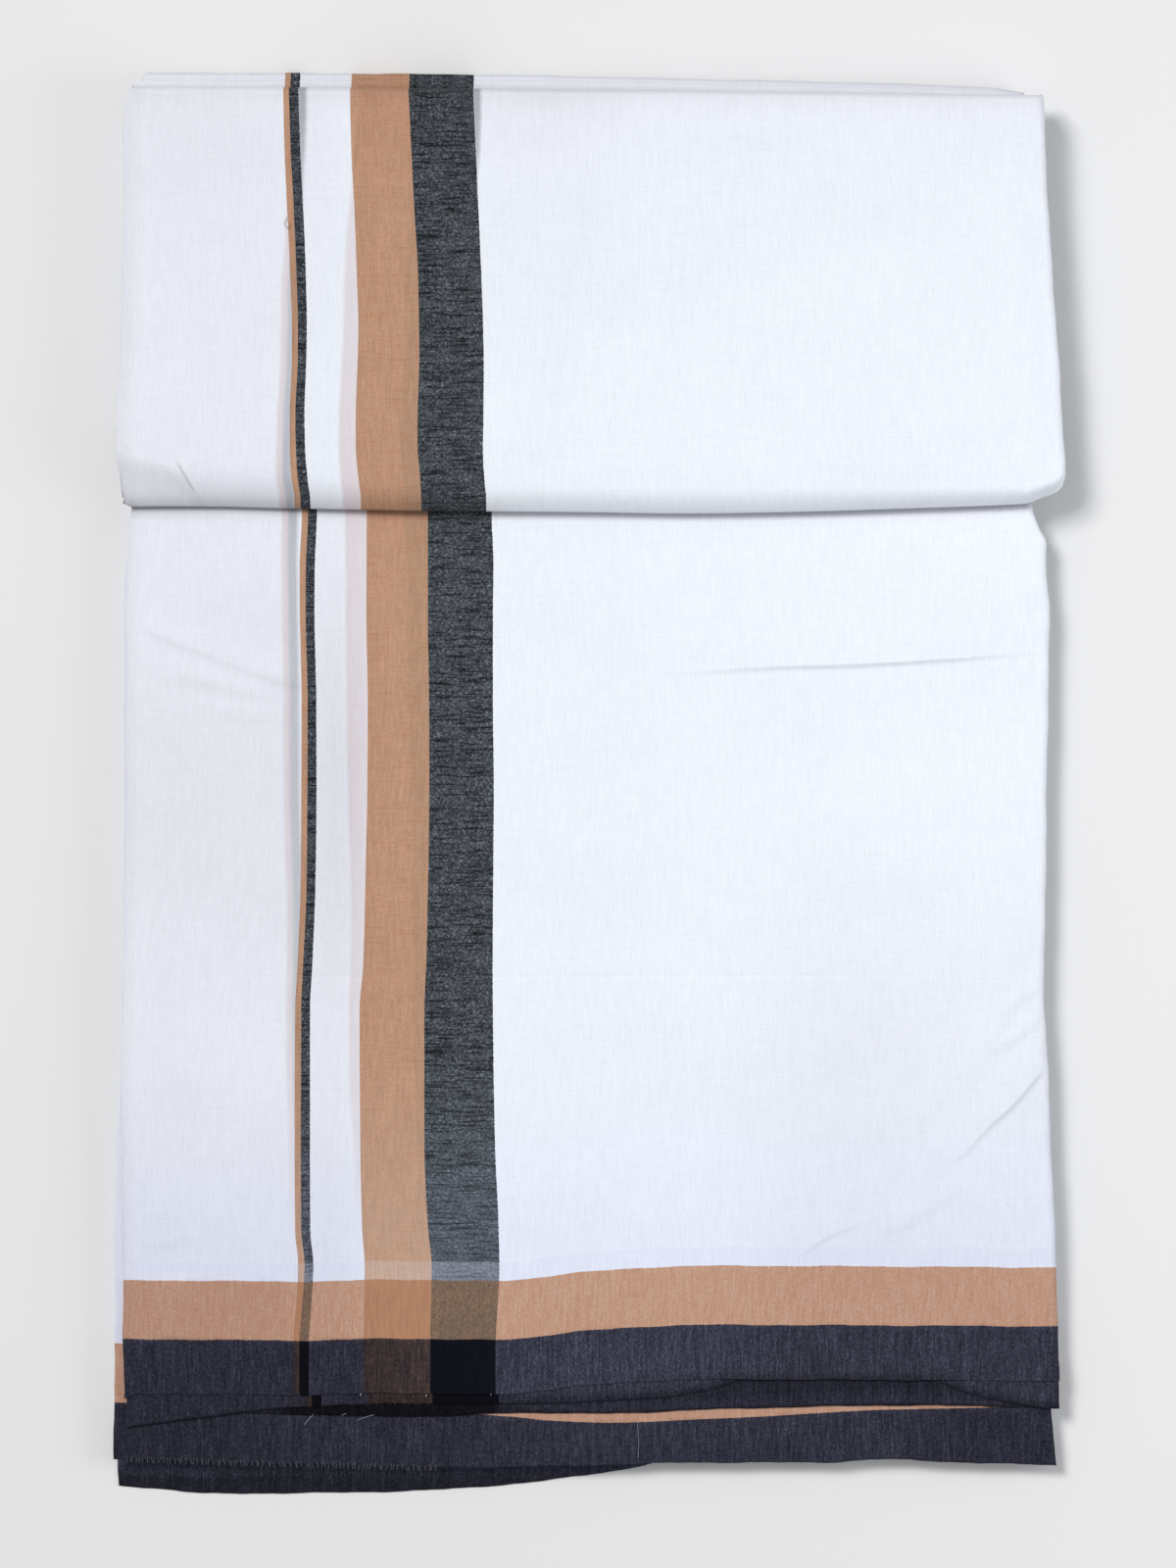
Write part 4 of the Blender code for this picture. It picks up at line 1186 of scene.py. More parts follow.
def hidden_layers():
    """All the layers that don't show from above, as one closed skin: rings joined level after level,
    folded leaf on folded leaf, in the pile and again in the flap."""
    low = leaf_levels(BUNDLE_FOOT, BUNDLE_TOP)
    high = leaf_levels(FLAP_BUNDLE_FOOT, FLAP_BUNDLE_TOP)
    rings = [lower_ring(*level) for level in low]
    rings += [stem_ring(BUNDLE_TOP), stem_ring(FLAP_BUNDLE_FOOT)]
    rings += [flap_ring(*level) for level in high]
    leaves = [level[0] for level in low] + [0, 0] + [level[0] + LEAVES for level in high]
    count = len(rings[0])
    points = np.concatenate(rings)
    here = np.arange(count)
    after = (here + 1) % count
    quads, stripes_on = [], []
    for level in range(len(rings) - 1):
        under, over = level * count, (level + 1) * count
        quad = np.stack([here + under, after + under, after + over, here + over], axis=1)
        quads.append(quad[:, ::-1])
        stripes_on.append(np.full(4 * count, leaves[level] % 3 == 1))
    faces = np.concatenate(quads)
    corners = faces.ravel()
    at = points[corners]
    shown = np.concatenate(stripes_on)
    u = np.where(shown, at[:, 0] + 97.0, at[:, 0] + NO_STRIPES)
    threads = np.stack([u, PAST_BORDER + at[:, 1] + at[:, 2]], axis=1) * MM
    made = add_mesh("hidden_layers_cloth", points, faces, threads, np.stack([u * MM, 0.0 * u], axis=1))
    close_ends(made, count, len(rings))
    made.data.materials.append(bpy.data.materials[COTTON])
    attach(made, "root")
    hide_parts("hidden_layers")


def close_ends(made, count, levels):
    """Closes the skin's foot and top, each with a flat face that is then cut into triangles."""
    shape = bmesh.new()
    shape.from_mesh(made.data)
    shape.verts.ensure_lookup_table()
    foot = [shape.verts[index] for index in range(count)]
    head = [shape.verts[(levels - 1) * count + index] for index in range(count)]
    shape.faces.new(foot)
    shape.faces.new(head[::-1])
    bmesh.ops.recalc_face_normals(shape, faces=shape.faces[:])
    bmesh.ops.triangulate(shape, faces=[face for face in shape.faces if len(face.verts) > 4])
    shape.to_mesh(made.data)
    shape.free()


# --- Loose threads -------------------------------------------------------------------------------


def tube(points, radius):
    """A three-sided thread along a few points, tapered to a third at each end, and its quads."""
    points = np.array(points, dtype=float)
    way = np.gradient(points, axis=0)
    way /= np.linalg.norm(way, axis=1)[:, None]
    side = np.cross(way, [0.0, 0.0, 1.0])
    side /= np.maximum(np.linalg.norm(side, axis=1), 1e-6)[:, None]
    over = np.cross(side, way)
    thick = radius * np.ones(len(points))
    thick[[0, -1]] = radius / 3.0
    turns = np.radians([90.0, 210.0, 330.0])
    rings = [points + thick[:, None] * (side * np.cos(turn) + over * np.sin(turn)) for turn in turns]
    spots = np.stack(rings, axis=1).reshape(-1, 3)
    here = np.arange(3)
    after = (here + 1) % 3
    starts = 3 * np.arange(len(points) - 1)
    quads = [np.stack([row + here, row + after, row + 3 + after, row + 3 + here], 1) for row in starts]
    return spots, np.concatenate(quads)


def loose_threads():
    """Cut thread ends along the plies' ends, and the few long ones that have come loose."""
    threads = []
    for ticks in TICKS:
        count = int(abs(ticks.stop - ticks.start) / ticks.pitch)
        place = np.linspace(ticks.start, ticks.stop, count)
        for x in place + wander(place * 9.0, 0.5 * ticks.pitch, ticks.seed):
            length = ticks.length * (0.75 + 0.5 * np.sin(7.1 * x + ticks.seed) ** 2)
            y = float(end_of(ticks.line, x)) + ticks.above
            lean = TICK_LEAN * np.sin(3.3 * x)
            path = [(x, y + length, ticks.z), (x + lean, y, ticks.z + TICK_RISE)]
            threads.append((path, TICK_RADIUS, ticks.yarn))
    for thread in LOOSE:
        threads.append((bent(thread.points), thread.radius, thread.yarn))
    points, faces, yarns, first = [], [], [], 0
    for path, radius, yarn in threads:
        spots, quads = tube(path, radius)
        points.append(spots)
        faces.append(quads + first)
        yarns.append(np.full(4 * len(quads), yarn))
        first += len(spots)
    faces = np.concatenate(faces)
    u = np.concatenate(yarns)
    threads = np.stack([u * MM, np.full_like(u, PAST_BORDER * MM)], axis=1)
    points = np.concatenate(points)
    ground = np.zeros(len(points))
    # Threads of any yarn but plain white are darkened through the painted-shade attribute.
    ground[faces.ravel()] = np.where(u == WHITE_YARN, 0.0, DIMMED)
    made = add_mesh("loose_threads", points, faces, threads, np.stack([u, 0.0 * u], axis=1), ground)
    made.data.materials.append(bpy.data.materials[COTTON])
    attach(made, "root")


# --- Materials -----------------------------------------------------------------------------------

COTTON = "Handloom cotton, plain woven with dyed stripes"
STUDIO_FLOOR = "Matt paper sweep"

# A real cloth of this kind has about 30 threads a centimetre, which is too fine to show. So the thread
# pitch is drawn coarser, and the dashes and thick stretches of yarn with it, at DhotiCloth's sizes.
# Next to each other, two threads take their noise from places this many patches apart.
THREAD_APART = 3.71

# White weft that's beaten up close is a touch darker. The last is a tint.
CLOSE_WHITE = 0.995
BROWN_OVER_BLACK = (0.87, 1.04, 1.09, 1.0)

# A yarn's cover is how much of the cloth it hides, next to plain white weft.
WHITE_WEFT_COVER = 1.0
CLOSE_WEFT_COVER = 2.5
BROWN_WEFT_COVER = 5.8
BLACK_WEFT_COVER = 3.0
WHITE_WARP_COVER = 2.1
BROWN_WARP_COVER = 3.6
BLACK_WARP_COVER = 1.1

# How far a stripe's edge, a band's edge and the edge of a stripe seen through the cloth stray, and how
# soft the last of these is, in millimetres.
STRIPE_STRAYS = 0.25
BAND_STRAYS = 0.2
BELOW_STRAYS = 0.5
BELOW_BLUR = 0.7

# The weft is beaten up closer near the border: fully up to the first place, and no more from the next.
BEATEN_UP = (60.0, 120.0)
BEATEN_UP_COVER = 0.55

# How much the threads show where yarns of two colours cross, and the sizes of the soft patches that
# black over black shows and that the tone of the whole cloth changes in.
WEFT_DASH = 1.5
THIN_WEFT_FROM = 0.03
THIN_WEFT = -3.3
WARP_LONG_LINE = 0.6
WARP_SHORT_LINE = 0.8
WARP_LINES = 0.95
BOTH_DARK_PATCHES = 0.3
CRAMMED_POWER = 1.3
LINES_ALONG_WARP = 0.42
BOTH_DARK_SIZE = (30.0 * MM, 2.5 * MM)
TONE_SIZE = (60.0 * MM, 45.0 * MM)


def linear(text):
    """An sRGB hex colour as linear red, green, blue and alpha."""
    values = np.array([int(text[place : place + 2], 16) for place in (0, 2, 4)]) / 255.0
    low, high = values / 12.92, ((values + 0.055) / 1.055) ** 2.4
    return (*np.where(values <= 0.04045, low, high), 1.0)


def add_node(tree, kind, inputs=(), output=0, **settings):
    """Adds a node with its settings, and gives one of its outputs. An input is a value, or another
    node's output to link to. Inputs stand in order, or under their names or places."""
    made = tree.nodes.new("ShaderNode" + kind)
    for name, value in settings.items():
        setattr(made, name, value)
    for name, value in inputs.items() if isinstance(inputs, dict) else enumerate(inputs):
        if isinstance(value, bpy.types.NodeSocket):
            tree.links.new(value, made.inputs[name])
        else:
            made.inputs[name].default_value = value
    return made.outputs[output]


def noise(node, across, up, sizes, detail=2.0):
    """Soft noise about 0 over two coordinates, in patches of these sizes."""
    place = [
        node("Math", (along, 1.0 / size), operation="MULTIPLY")
        for along, size in zip((across, up), sizes)
    ]
    settings = {"Vector": node("CombineXYZ", place), "Scale": 1.0, "Detail": detail, "Roughness": 0.5}
    value = node("TexNoise", settings, noise_dimensions="2D")
    return node("Math", (value, 0.5), operation="SUBTRACT")


def dashes(node, along, across, length, pitch):
    """Noise along each thread, about 0, and not the same on any two threads."""
    thread = node("Math", (across, 1.0 / (pitch * MM)), operation="MULTIPLY")
    thread = node("Math", (thread,), operation="FLOOR")
    return noise(node, along, thread, (length * MM, 1.0 / THREAD_APART), 1.0)


def total(node, *values):
    """The sum of all the values."""
    result = values[0]
    for value in values[1:]:
        result = node("Math", (result, value), operation="ADD")
    return result


def bands(node, place, rows, blur=0.0):
    """The colour and cover of the band at a place. Each row starts at its own place, in millimetres,
    either sharply or softly over twice the blur."""
    _, colour, cover = rows[0]
    for before, (start, own, own_cover) in zip(rows, rows[1:]):
        if blur:
            slope = (place, 0.5 / (blur * MM), 0.5 - 0.5 * start / blur)
            past = node("Math", slope, operation="MULTIPLY_ADD", use_clamp=True)
        else:
            past = node("Math", (place, start * MM), operation="GREATER_THAN")
        colour = node("Mix", {0: past, 6: colour, 7: own}, 2, data_type="RGBA", blend_type="MIX")
        cover = node("Math", (past, own_cover - before[2], cover), operation="MULTIPLY_ADD")
    return colour, cover


def woven_cotton(cloth):
    """Cotton yarn in a plain weave. Warp threads run up the pile and carry the stripes, weft threads
    run across it and carry the end border. Where two meet, the eye sees both: the colour is the warp's
    to the power of its share times the weft's to the power of the rest. A yarn's share grows with its
    cover, since close-set or thick yarn hides the other. Each thread's thickness changes along it, so
    dark cloth shows short dashes of light thread, and white cloth hardly any."""
    made = bpy.data.materials.new(COTTON)
    made.use_nodes = True
    tree = made.node_tree
    tree.nodes.clear()
    node = partial(add_node, tree)
    times = {"data_type": "RGBA", "blend_type": "MULTIPLY"}

    # The threads on this face, and where the stripes of the ply below lie under it. Thick stretches
    # of yarn are a little longer in the weft, and a little broader in the warp.
    u = node("SeparateXYZ", (node("UVMap", uv_map="Threads"),))
    v = u.node.outputs[1]
    below_u = node("SeparateXYZ", (node("UVMap", uv_map="Below"),))
    below_strength = below_u.node.outputs[1]
    pitch, slub = cloth.thread_pitch, cloth.slub_length
    weft_short = dashes(node, u, v, cloth.dash_length, pitch)
    warp_short = dashes(node, v, u, cloth.dash_length, pitch)
    weft_long = dashes(node, u, v, 1.2 * slub, pitch)
    warp_long = dashes(node, v, u, slub, 1.3 * pitch)

    # Each stripe's edge runs between two threads, and strays a little. So does each band's.
    edges = np.concatenate([[0.0], np.cumsum(STRIPE_WIDTHS)])
    white, brown, black = linear(cloth.white), linear(cloth.brown), linear(cloth.black)
    white_warp = (white, WHITE_WARP_COVER)
    coloured_pair = ((brown, BROWN_WARP_COVER), (black, BLACK_WARP_COVER))
    stripes = (*coloured_pair, white_warp, *coloured_pair, white_warp)
    warp_rows = [(0.0, *white_warp)] + [(edge, *stripe) for edge, stripe in zip(edges, stripes)]
    weft_rows = [
        (0.0, linear(cloth.border_black), BLACK_WEFT_COVER),
        (BLACK_BAND, linear(cloth.border_brown), BROWN_WEFT_COVER),
        (BROWN_BAND, (*(CLOSE_WHITE * value for value in white[:3]), 1.0), CLOSE_WEFT_COVER),
        (CLOSE_BAND, white, WHITE_WEFT_COVER),
    ]
    place = node("Math", (weft_short, STRIPE_STRAYS * MM, u), operation="MULTIPLY_ADD")
    warp_colour, warp_cover = bands(node, place, warp_rows)
    place = node("Math", (warp_short, BAND_STRAYS * MM, v), operation="MULTIPLY_ADD")
    weft_colour, weft_cover = bands(node, place, weft_rows)

    # The weft is beaten up a little closer near the border, and is bluer there.
    close, loose = BEATEN_UP
    slope = (v, -1.0 / ((loose - close) * MM), loose / (loose - close))
    near_border = node("Math", slope, operation="MULTIPLY_ADD", use_clamp=True)
    above_bands = node("Math", (v, BROWN_BAND * MM), operation="GREATER_THAN")
    near_border = node("Math", (near_border, above_bands), operation="MULTIPLY")
    weft_cover = node("Math", (near_border, BEATEN_UP_COVER, weft_cover), operation="MULTIPLY_ADD")
    blue = linear(cloth.border_blue)
    weft_colour = node("Mix", {0: near_border, 6: weft_colour, 7: blue}, 2, **times)

    # How light and how dark each yarn is. The powers leave only black warp as dark.
    weft_white = node("RGBToBW", (weft_colour,))
    warp_white = node("RGBToBW", (warp_colour,))
    weft_dark = node("Math", (1.0, weft_white), operation="SUBTRACT")
    weft_dark = node("Math", (weft_dark, 1.12), operation="MULTIPLY", use_clamp=True)
    warp_not_white = node("Math", (1.0, warp_white), operation="SUBTRACT")
    warp_dark = node("Math", (warp_not_white, 5.0), operation="POWER")

    # Light weft shows in short dashes across black warp, with thin gaps between, and least where it's
    # crammed. Where both are dark, it shows in soft patches.
    thin_weft = node("Math", (weft_long, THIN_WEFT_FROM), operation="SUBTRACT")
    thin_weft = node("Math", (thin_weft, 0.0), operation="MAXIMUM")
    thin_weft = node("Math", (thin_weft, THIN_WEFT), operation="MULTIPLY")
    weft_dashes = node("Math", (weft_short, WEFT_DASH), operation="MULTIPLY")
    weft_dashes = total(node, weft_dashes, warp_short, thin_weft)
    weft_shows = node("Math", (weft_white, 0.95, 0.05), operation="MULTIPLY_ADD")
    weft_shows = node("Math", (weft_shows, warp_dark), operation="MULTIPLY")
    weft_shows = node("Math", (weft_shows, weft_dashes), operation="MULTIPLY")
    both_dark = noise(node, u, v, BOTH_DARK_SIZE)
    both_dark = node("Math", (warp_dark, both_dark), operation="MULTIPLY")
    both_dark = node("Math", (both_dark, BOTH_DARK_PATCHES), operation="MULTIPLY")
    weft_shows = node("Math", (weft_shows, both_dark), operation="ADD")
    weft_shows = node("Math", (weft_shows, cloth.unevenness), operation="MULTIPLY")
    covers = node("Math", (weft_cover, warp_cover), operation="ADD")
    share = node("Math", (weft_cover, covers), operation="DIVIDE")
    rest = node("Math", (1.0, share), operation="SUBTRACT")
    rest = node("Math", (rest, CRAMMED_POWER), operation="POWER")
    weft_shows = node("Math", (weft_shows, rest), operation="MULTIPLY")

    # Coloured weft shows the warp in fine lines along it.
    warp_lines = node("Math", (warp_short, WARP_SHORT_LINE), operation="MULTIPLY")
    warp_lines = node("Math", (warp_long, WARP_LONG_LINE, warp_lines), operation="MULTIPLY_ADD")
    warp_shows = node("Math", (weft_dark, WARP_LINES), operation="MULTIPLY")
    warp_shows = node("Math", (warp_shows, warp_lines), operation="MULTIPLY")
    uneven = node("Math", (warp_shows, -0.5, weft_shows), operation="MULTIPLY_ADD")
    share = node("Math", (share, uneven), operation="ADD", use_clamp=True)
    rest = node("Math", (1.0, share), operation="SUBTRACT")
    warp_part = node("Gamma", (warp_colour, rest))
    weft_part = node("Gamma", (weft_colour, share))
    colour = node("Mix", {0: 1.0, 6: warp_part, 7: weft_part}, 2, **times)

    # Brown weft over black warp looks greyer than the two yarns' mix. It's neither white nor black.
    no_white = node("Math", (weft_dark, 4.0), operation="POWER")
    no_black = node("Math", (weft_white, 8.4), operation="MULTIPLY")
    brown_weft = node("Math", (no_black, no_white), operation="MULTIPLY")
    over_black = node("Math", (brown_weft, warp_dark), operation="MULTIPLY", use_clamp=True)
    colour = node("Mix", {0: over_black, 6: colour, 7: BROWN_OVER_BLACK}, 2, **times)

    # The stripes of the ply below tint thin white cloth.
    clear = (1.0, 1.0, 1.0, 1.0)
    tints = 2 * (linear(cloth.brown_below), linear(cloth.black_below), clear)
    below_rows = [(0.0, clear, 1.0)] + [(edge, tint, 1.0) for edge, tint in zip(edges, tints)]
    place = node("Math", (weft_long, BELOW_STRAYS * MM, below_u), operation="MULTIPLY_ADD")
    tint, _ = bands(node, place, below_rows, BELOW_BLUR)
    shows = node("Math", (below_strength, node("RGBToBW", (colour,))), operation="MULTIPLY")
    colour = node("Mix", {0: shows, 6: colour, 7: tint}, 2, **times)

    # Slow changes of tone, the faint grain of the threads, and the painted shade, tinted where it's
    # deep.
    tone = noise(node, u, v, TONE_SIZE)
    tone = node("Math", (tone, cloth.mottle, 1.0), operation="MULTIPLY_ADD")
    grain = total(node, weft_short, warp_short, weft_long, warp_long)
    tone = node("Math", (grain, cloth.grain, tone), operation="MULTIPLY_ADD")
    along_warp = node("Math", (warp_long, warp_not_white), operation="MULTIPLY")
    tone = node("Math", (along_warp, LINES_ALONG_WARP, tone), operation="MULTIPLY_ADD")
    ground = node("Attribute", (), 2, attribute_name="ground")
    lit = node("Math", (1.0, ground), operation="SUBTRACT")
    tone = node("Math", (tone, lit), operation="MULTIPLY")
    colour = node("Mix", {0: 1.0, 6: colour, 7: node("CombineColor", (tone, tone, tone))}, 2, **times)
    # Deep painted shade takes on the shade tint.
    deep_shade = node("Math", (ground, 8.0), operation="MULTIPLY", use_clamp=True)
    colour = node("Mix", {0: deep_shade, 6: colour, 7: linear(cloth.shade_tint)}, 2, **times)

    height = node("Math", (weft_short, warp_short), operation="ADD")
    relief = {"Strength": cloth.relief, "Distance": 0.1 * MM, "Height": height}
    looks = {
        "Base Color": colour,
        "Roughness": 0.9,
        "Specular IOR Level": 0.04,
        "Sheen Weight": 0.03,
        "Sheen Roughness": 0.5,
        "Normal": node("Bump", relief),
    }
    shader = node("BsdfPrincipled", looks)
    out = tree.nodes.new("ShaderNodeOutputMaterial")
    tree.links.new(shader, out.inputs[0])


def paper_floor(stage):
    """Matt paper: even, with no gloss."""
    made = bpy.data.materials.new(STUDIO_FLOOR)
    made.use_nodes = True
    shader = made.node_tree.nodes["Principled BSDF"]
    shader.inputs["Base Color"].default_value = linear(stage.floor)
    shader.inputs["Roughness"].default_value = 0.95
    shader.inputs["Specular IOR Level"].default_value = 0.0


# --- The add-on ----------------------------------------------------------------------------------

# The studio, in metres: a large key light high at the upper left, and a small, cooler fill low at the
# right.
FLOOR_REACH = 4.0
KEY_PLACE = (-2.1, 2.1, 4.2)
KEY_SIZE = 1.6
FILL_PLACE = (0.75, -0.05, 0.53)
FILL_SIZE = 0.5
FILL_COLOUR = (0.93, 0.96, 1.0)


class DhotiCloth(bpy.types.PropertyGroup):
    """The yarns and the weave."""

    white: bpy.props.StringProperty(
        name="White yarn", description="sRGB hex of bleached yarn", default="EEF3FB"
    )
    brown: bpy.props.StringProperty(
        name="Brown yarn", description="sRGB hex of brown yarn", default="B58667"
    )
    black: bpy.props.StringProperty(
        name="Black warp", description="sRGB hex of black warp yarn", default="121518"
    )
    border_black: bpy.props.StringProperty(
        name="Black weft", description="sRGB hex of the border's black weft yarn", default="12131E"
    )
    border_brown: bpy.props.StringProperty(
        name="Brown weft", description="sRGB hex of the border's brown weft yarn", default="B48267"
    )
    border_blue: bpy.props.StringProperty(
        name="Blue near border",
        description="sRGB hex that tints white weft by the border",
        default="EEF0FF",
    )
    # The tint that deep painted shade takes on.
    shade_tint: bpy.props.StringProperty(
        name="Tint over layers",
        description="sRGB hex that tints cloth lying on dark layers",
        default="FFFBFC",
    )
    brown_below: bpy.props.StringProperty(
        name="Brown below",
        description="sRGB hex of brown seen through a white ply",
        default="DCBAB2",
    )
    black_below: bpy.props.StringProperty(
        name="Black below",
        description="sRGB hex of black seen through a white ply",
        default="555A60",
    )
    thickness: bpy.props.FloatProperty(
        name="Cloth thickness",
        description="How thick one ply is drawn, in mm",
        default=0.4,
        min=0.2,
        max=0.8,
    )
    thread_pitch: bpy.props.FloatProperty(
        name="Thread pitch",
        description="How close the threads lie, in mm",
        default=0.44,
        min=0.3,
        max=3.0,
    )
    dash_length: bpy.props.FloatProperty(
        name="Dash length",
        description="How long a thread stays on top, in mm",
        default=1.0,
        min=0.5,
    )
    slub_length: bpy.props.FloatProperty(
        name="Slub length",
        description="How long a thick stretch of yarn runs, in mm",
        default=9.0,
        min=2.0,
    )
    unevenness: bpy.props.FloatProperty(
        name="Unevenness",
        description="How much a thick stretch of yarn shows",
        default=1.12,
        min=0.0,
        max=3.0,
    )
    grain: bpy.props.FloatProperty(
        name="Grain",
        description="How much the threads mottle plain cloth",
        default=0.055,
        min=0.0,
        max=1.0,
    )
    mottle: bpy.props.FloatProperty(
        name="Mottle",
        description="How much the tone drifts over the cloth",
        default=0.05,
        min=0.0,
        max=1.0,
    )
    relief: bpy.props.FloatProperty(
        name="Thread relief",
        description="Strength of the threads' relief",
        default=0.2,
        min=0.0,
        max=1.0,
    )


class DhotiStage(bpy.types.PropertyGroup):
    """The floor, the light and the camera."""

    floor: bpy.props.StringProperty(
        name="Floor", description="sRGB hex of the floor", default="E9E9E9"
    )
    camera_height: bpy.props.FloatProperty(
        name="Camera height",
        description="Height of the camera over the floor",
        default=2.4,
        unit="LENGTH",
    )
    picture_height: bpy.props.FloatProperty(
        name="Picture height",
        description="How much the picture takes in at the height of the front panel",
        default=0.5376,
        unit="LENGTH",
    )
    sky: bpy.props.FloatProperty(
        name="Sky", description="Strength of the even light", default=0.38, min=0.0
    )
    key: bpy.props.FloatProperty(
        name="Key light", description="Power of the key light", default=168.0, min=0.0
    )
    fill: bpy.props.FloatProperty(
        name="Fill light", description="Power of the fill light", default=1.9, min=0.0
    )


class DHOTI_OT_lowest_ply(bpy.types.Operator):
    """Lays the ply that the pile rests on"""

    bl_idname = "dhoti.lowest_ply"
    bl_label = "Lowest ply"

    def execute(self, context):
        made = lowest_ply(context.scene.dhoti_cloth.thickness)
        finish_cloth(made, "lowest_ply")
        return {"FINISHED"}


class DHOTI_OT_hidden_layers(bpy.types.Operator):
    """Builds the folded layers that don't show from above"""

    bl_idname = "dhoti.hidden_layers"
    bl_label = "Hidden layers"

    def execute(self, context):
        hidden_layers()
        return {"FINISHED"}


class DHOTI_OT_lower_plies(bpy.types.Operator):
    """Lays the fourth, third and second plies, whose ends show"""

    bl_idname = "dhoti.lower_plies"
    bl_label = "Lower plies"

    def execute(self, context):
        thickness = context.scene.dhoti_cloth.thickness
        finish_cloth(fourth_ply(thickness), "fourth_ply")
        for node, top, press, edge, stripes, shades, seed in (
            ("third_ply", THIRD_TOP, THIRD_PRESSED, THIRD_END, None, THIRD_SHADES, 11),
            ("second_ply", SECOND_TOP, SECOND_PRESSED, SECOND_END, SECOND_STRIPES, SECOND_SHADES, 13),
        ):
            name = node + "_cloth"
            made = covered_ply(name, top, press, edge, stripes, shades, seed, thickness)
            finish_cloth(made, node)
        return {"FINISHED"}


class DHOTI_OT_front_panel(bpy.types.Operator):
    """Lays the front panel with its stripes, border and creases"""

    bl_idname = "dhoti.front_panel"
    bl_label = "Front panel"

    def execute(self, context):
        made = front_panel(context.scene.dhoti_cloth.thickness)
        finish_cloth(made, "front_panel")
        return {"FINISHED"}


class DHOTI_OT_flap(bpy.types.Operator):
    """Turns the upper end down over the front"""

    bl_idname = "dhoti.flap"
    bl_label = "Flap"

    def execute(self, context):
        made = flap(context.scene.dhoti_cloth.thickness)
        finish_cloth(made, "flap")
        return {"FINISHED"}


class DHOTI_OT_top_folds(bpy.types.Operator):
    """Lays the two folded edges above the flap"""

    bl_idname = "dhoti.top_folds"
    bl_label = "Top folds"

    def execute(self, context):
        thickness = context.scene.dhoti_cloth.thickness
        for node, edge, heights, seed in (
            ("top_fold_outer", OUTER_FOLD, OUTER_FOLD_HEIGHTS, 15),
            ("top_fold_inner", INNER_FOLD, INNER_FOLD_HEIGHTS, 17),
        ):
            made = top_fold(node + "_cloth", edge, heights, seed, thickness)
            finish_cloth(made, node)
        return {"FINISHED"}


class DHOTI_OT_loose_threads(bpy.types.Operator):
    """Adds the cut and loose threads at the plies' ends"""

    bl_idname = "dhoti.loose_threads"
    bl_label = "Loose threads"

    def execute(self, context):
        loose_threads()
        return {"FINISHED"}


class DHOTI_OT_stage(bpy.types.Operator):
    """Sets the floor, the lights and the camera"""

    bl_idname = "dhoti.stage"
    bl_label = "Stage"

    def execute(self, context):
        stage = context.scene.dhoti_stage
        scene = context.scene
        scene.view_settings.view_transform = "Standard"
        paper_floor(stage)
        mesh = bpy.data.meshes.new("floor")
        signs = ((-1.0, -1.0), (1.0, -1.0), (1.0, 1.0), (-1.0, 1.0))
        corners = [(x * FLOOR_REACH, y * FLOOR_REACH, 0.0) for x, y in signs]
        mesh.from_pydata(corners, [], [(0, 1, 2, 3)])
        mesh.materials.append(bpy.data.materials[STUDIO_FLOOR])
        floor = bpy.data.objects.new("floor", mesh)
        scene.collection.objects.link(floor)

        world = bpy.data.worlds.new("Even studio light")
        world.use_nodes = True
        back = world.node_tree.nodes["Background"]
        back.inputs["Color"].default_value = (1.0, 1.0, 1.0, 1.0)
        back.inputs["Strength"].default_value = stage.sky
        scene.world = world
        add_light("key", KEY_PLACE, KEY_SIZE, stage.key, (1.0, 1.0, 1.0))
        add_light("fill", FILL_PLACE, FILL_SIZE, stage.fill, FILL_COLOUR)

        camera = bpy.data.cameras.new("camera")
        camera.sensor_fit = "VERTICAL"
        camera.sensor_height = 24.0
        away = stage.camera_height - PANEL_TOP * MM
        camera.lens = camera.sensor_height * away / stage.picture_height
        seen = bpy.data.objects.new("camera", camera)
        seen.location = (0.0, 0.0, stage.camera_height)
        scene.collection.objects.link(seen)
        scene.camera = seen
        return {"FINISHED"}


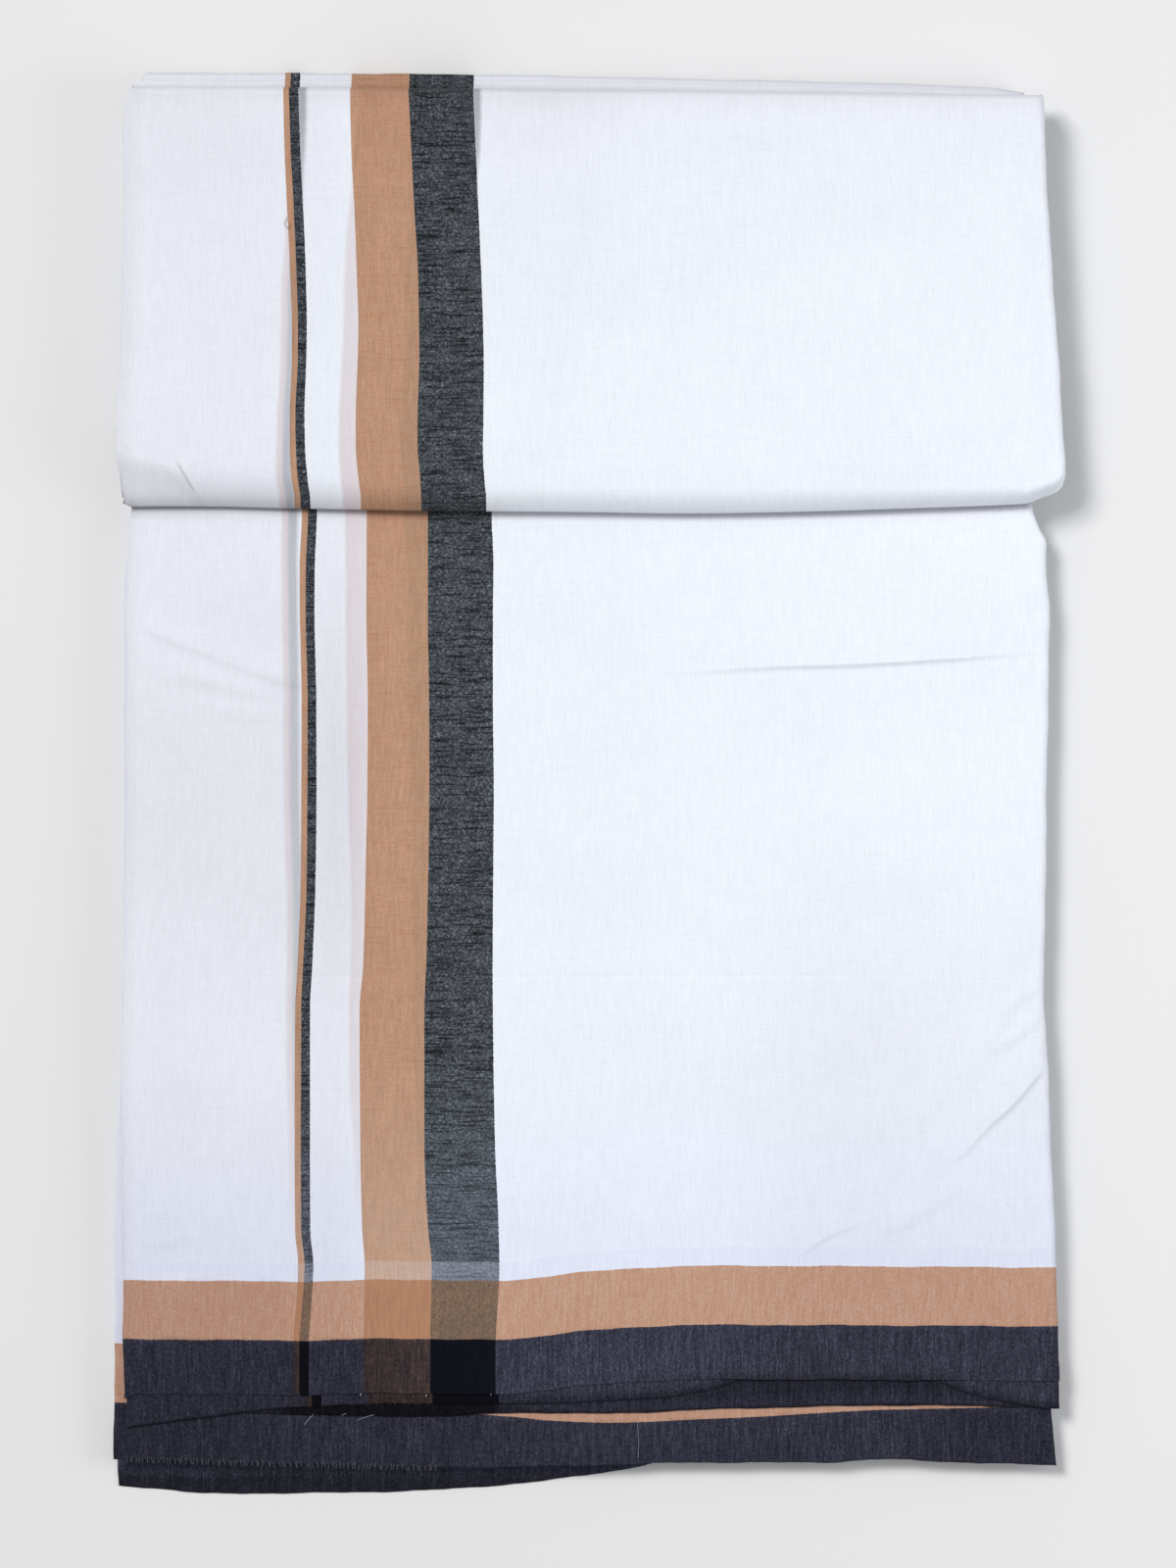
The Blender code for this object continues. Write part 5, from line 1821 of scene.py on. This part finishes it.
def add_light(name, place, size, power, colour):
    """A square soft light, aimed at the middle of the pile."""
    light = bpy.data.lights.new(name, "AREA")
    light.size = size
    light.energy = power
    light.color = colour
    made = bpy.data.objects.new(name, light)
    made.location = place
    aim = -np.array(place)
    flat = float(np.hypot(aim[0], aim[1]))
    turned = float(np.arctan2(aim[1], aim[0])) - np.pi / 2.0
    made.rotation_euler = (float(np.arctan2(flat, -aim[2])), 0.0, turned)
    bpy.context.scene.collection.objects.link(made)


class DHOTI_PT_pile(bpy.types.Panel):
    """Lists the pieces of the pile"""

    bl_idname = "DHOTI_PT_pile"
    bl_label = "Folded dhoti"
    bl_space_type = "VIEW_3D"
    bl_region_type = "UI"
    bl_category = "Dhoti"

    def draw(self, context):
        layout = self.layout
        scene = context.scene
        for group, owner in ((DhotiCloth, scene.dhoti_cloth), (DhotiStage, scene.dhoti_stage)):
            for name in group.__annotations__:
                layout.prop(owner, name)
        for operator in OPERATORS:
            layout.operator(operator.bl_idname)


OPERATORS = (
    DHOTI_OT_stage,
    DHOTI_OT_lowest_ply,
    DHOTI_OT_hidden_layers,
    DHOTI_OT_lower_plies,
    DHOTI_OT_front_panel,
    DHOTI_OT_flap,
    DHOTI_OT_top_folds,
    DHOTI_OT_loose_threads,
)
CLASSES = (DhotiCloth, DhotiStage, *OPERATORS, DHOTI_PT_pile)


def register():
    """Registers the classes, and hangs the two groups of properties on the scene."""
    for kind in CLASSES:
        bpy.utils.register_class(kind)
    bpy.types.Scene.dhoti_cloth = bpy.props.PointerProperty(type=DhotiCloth)
    bpy.types.Scene.dhoti_stage = bpy.props.PointerProperty(type=DhotiStage)


def unregister():
    """Takes all of that away again."""
    del bpy.types.Scene.dhoti_cloth
    del bpy.types.Scene.dhoti_stage
    for kind in reversed(CLASSES):
        bpy.utils.unregister_class(kind)


def main():
    """Builds the material, the stage and every piece."""
    register()
    woven_cotton(bpy.context.scene.dhoti_cloth)
    bpy.ops.dhoti.stage()
    bpy.ops.dhoti.lowest_ply()
    bpy.ops.dhoti.hidden_layers()
    bpy.ops.dhoti.lower_plies()
    bpy.ops.dhoti.front_panel()
    bpy.ops.dhoti.flap()
    bpy.ops.dhoti.top_folds()
    bpy.ops.dhoti.loose_threads()


if __name__ == "__main__":
    main()
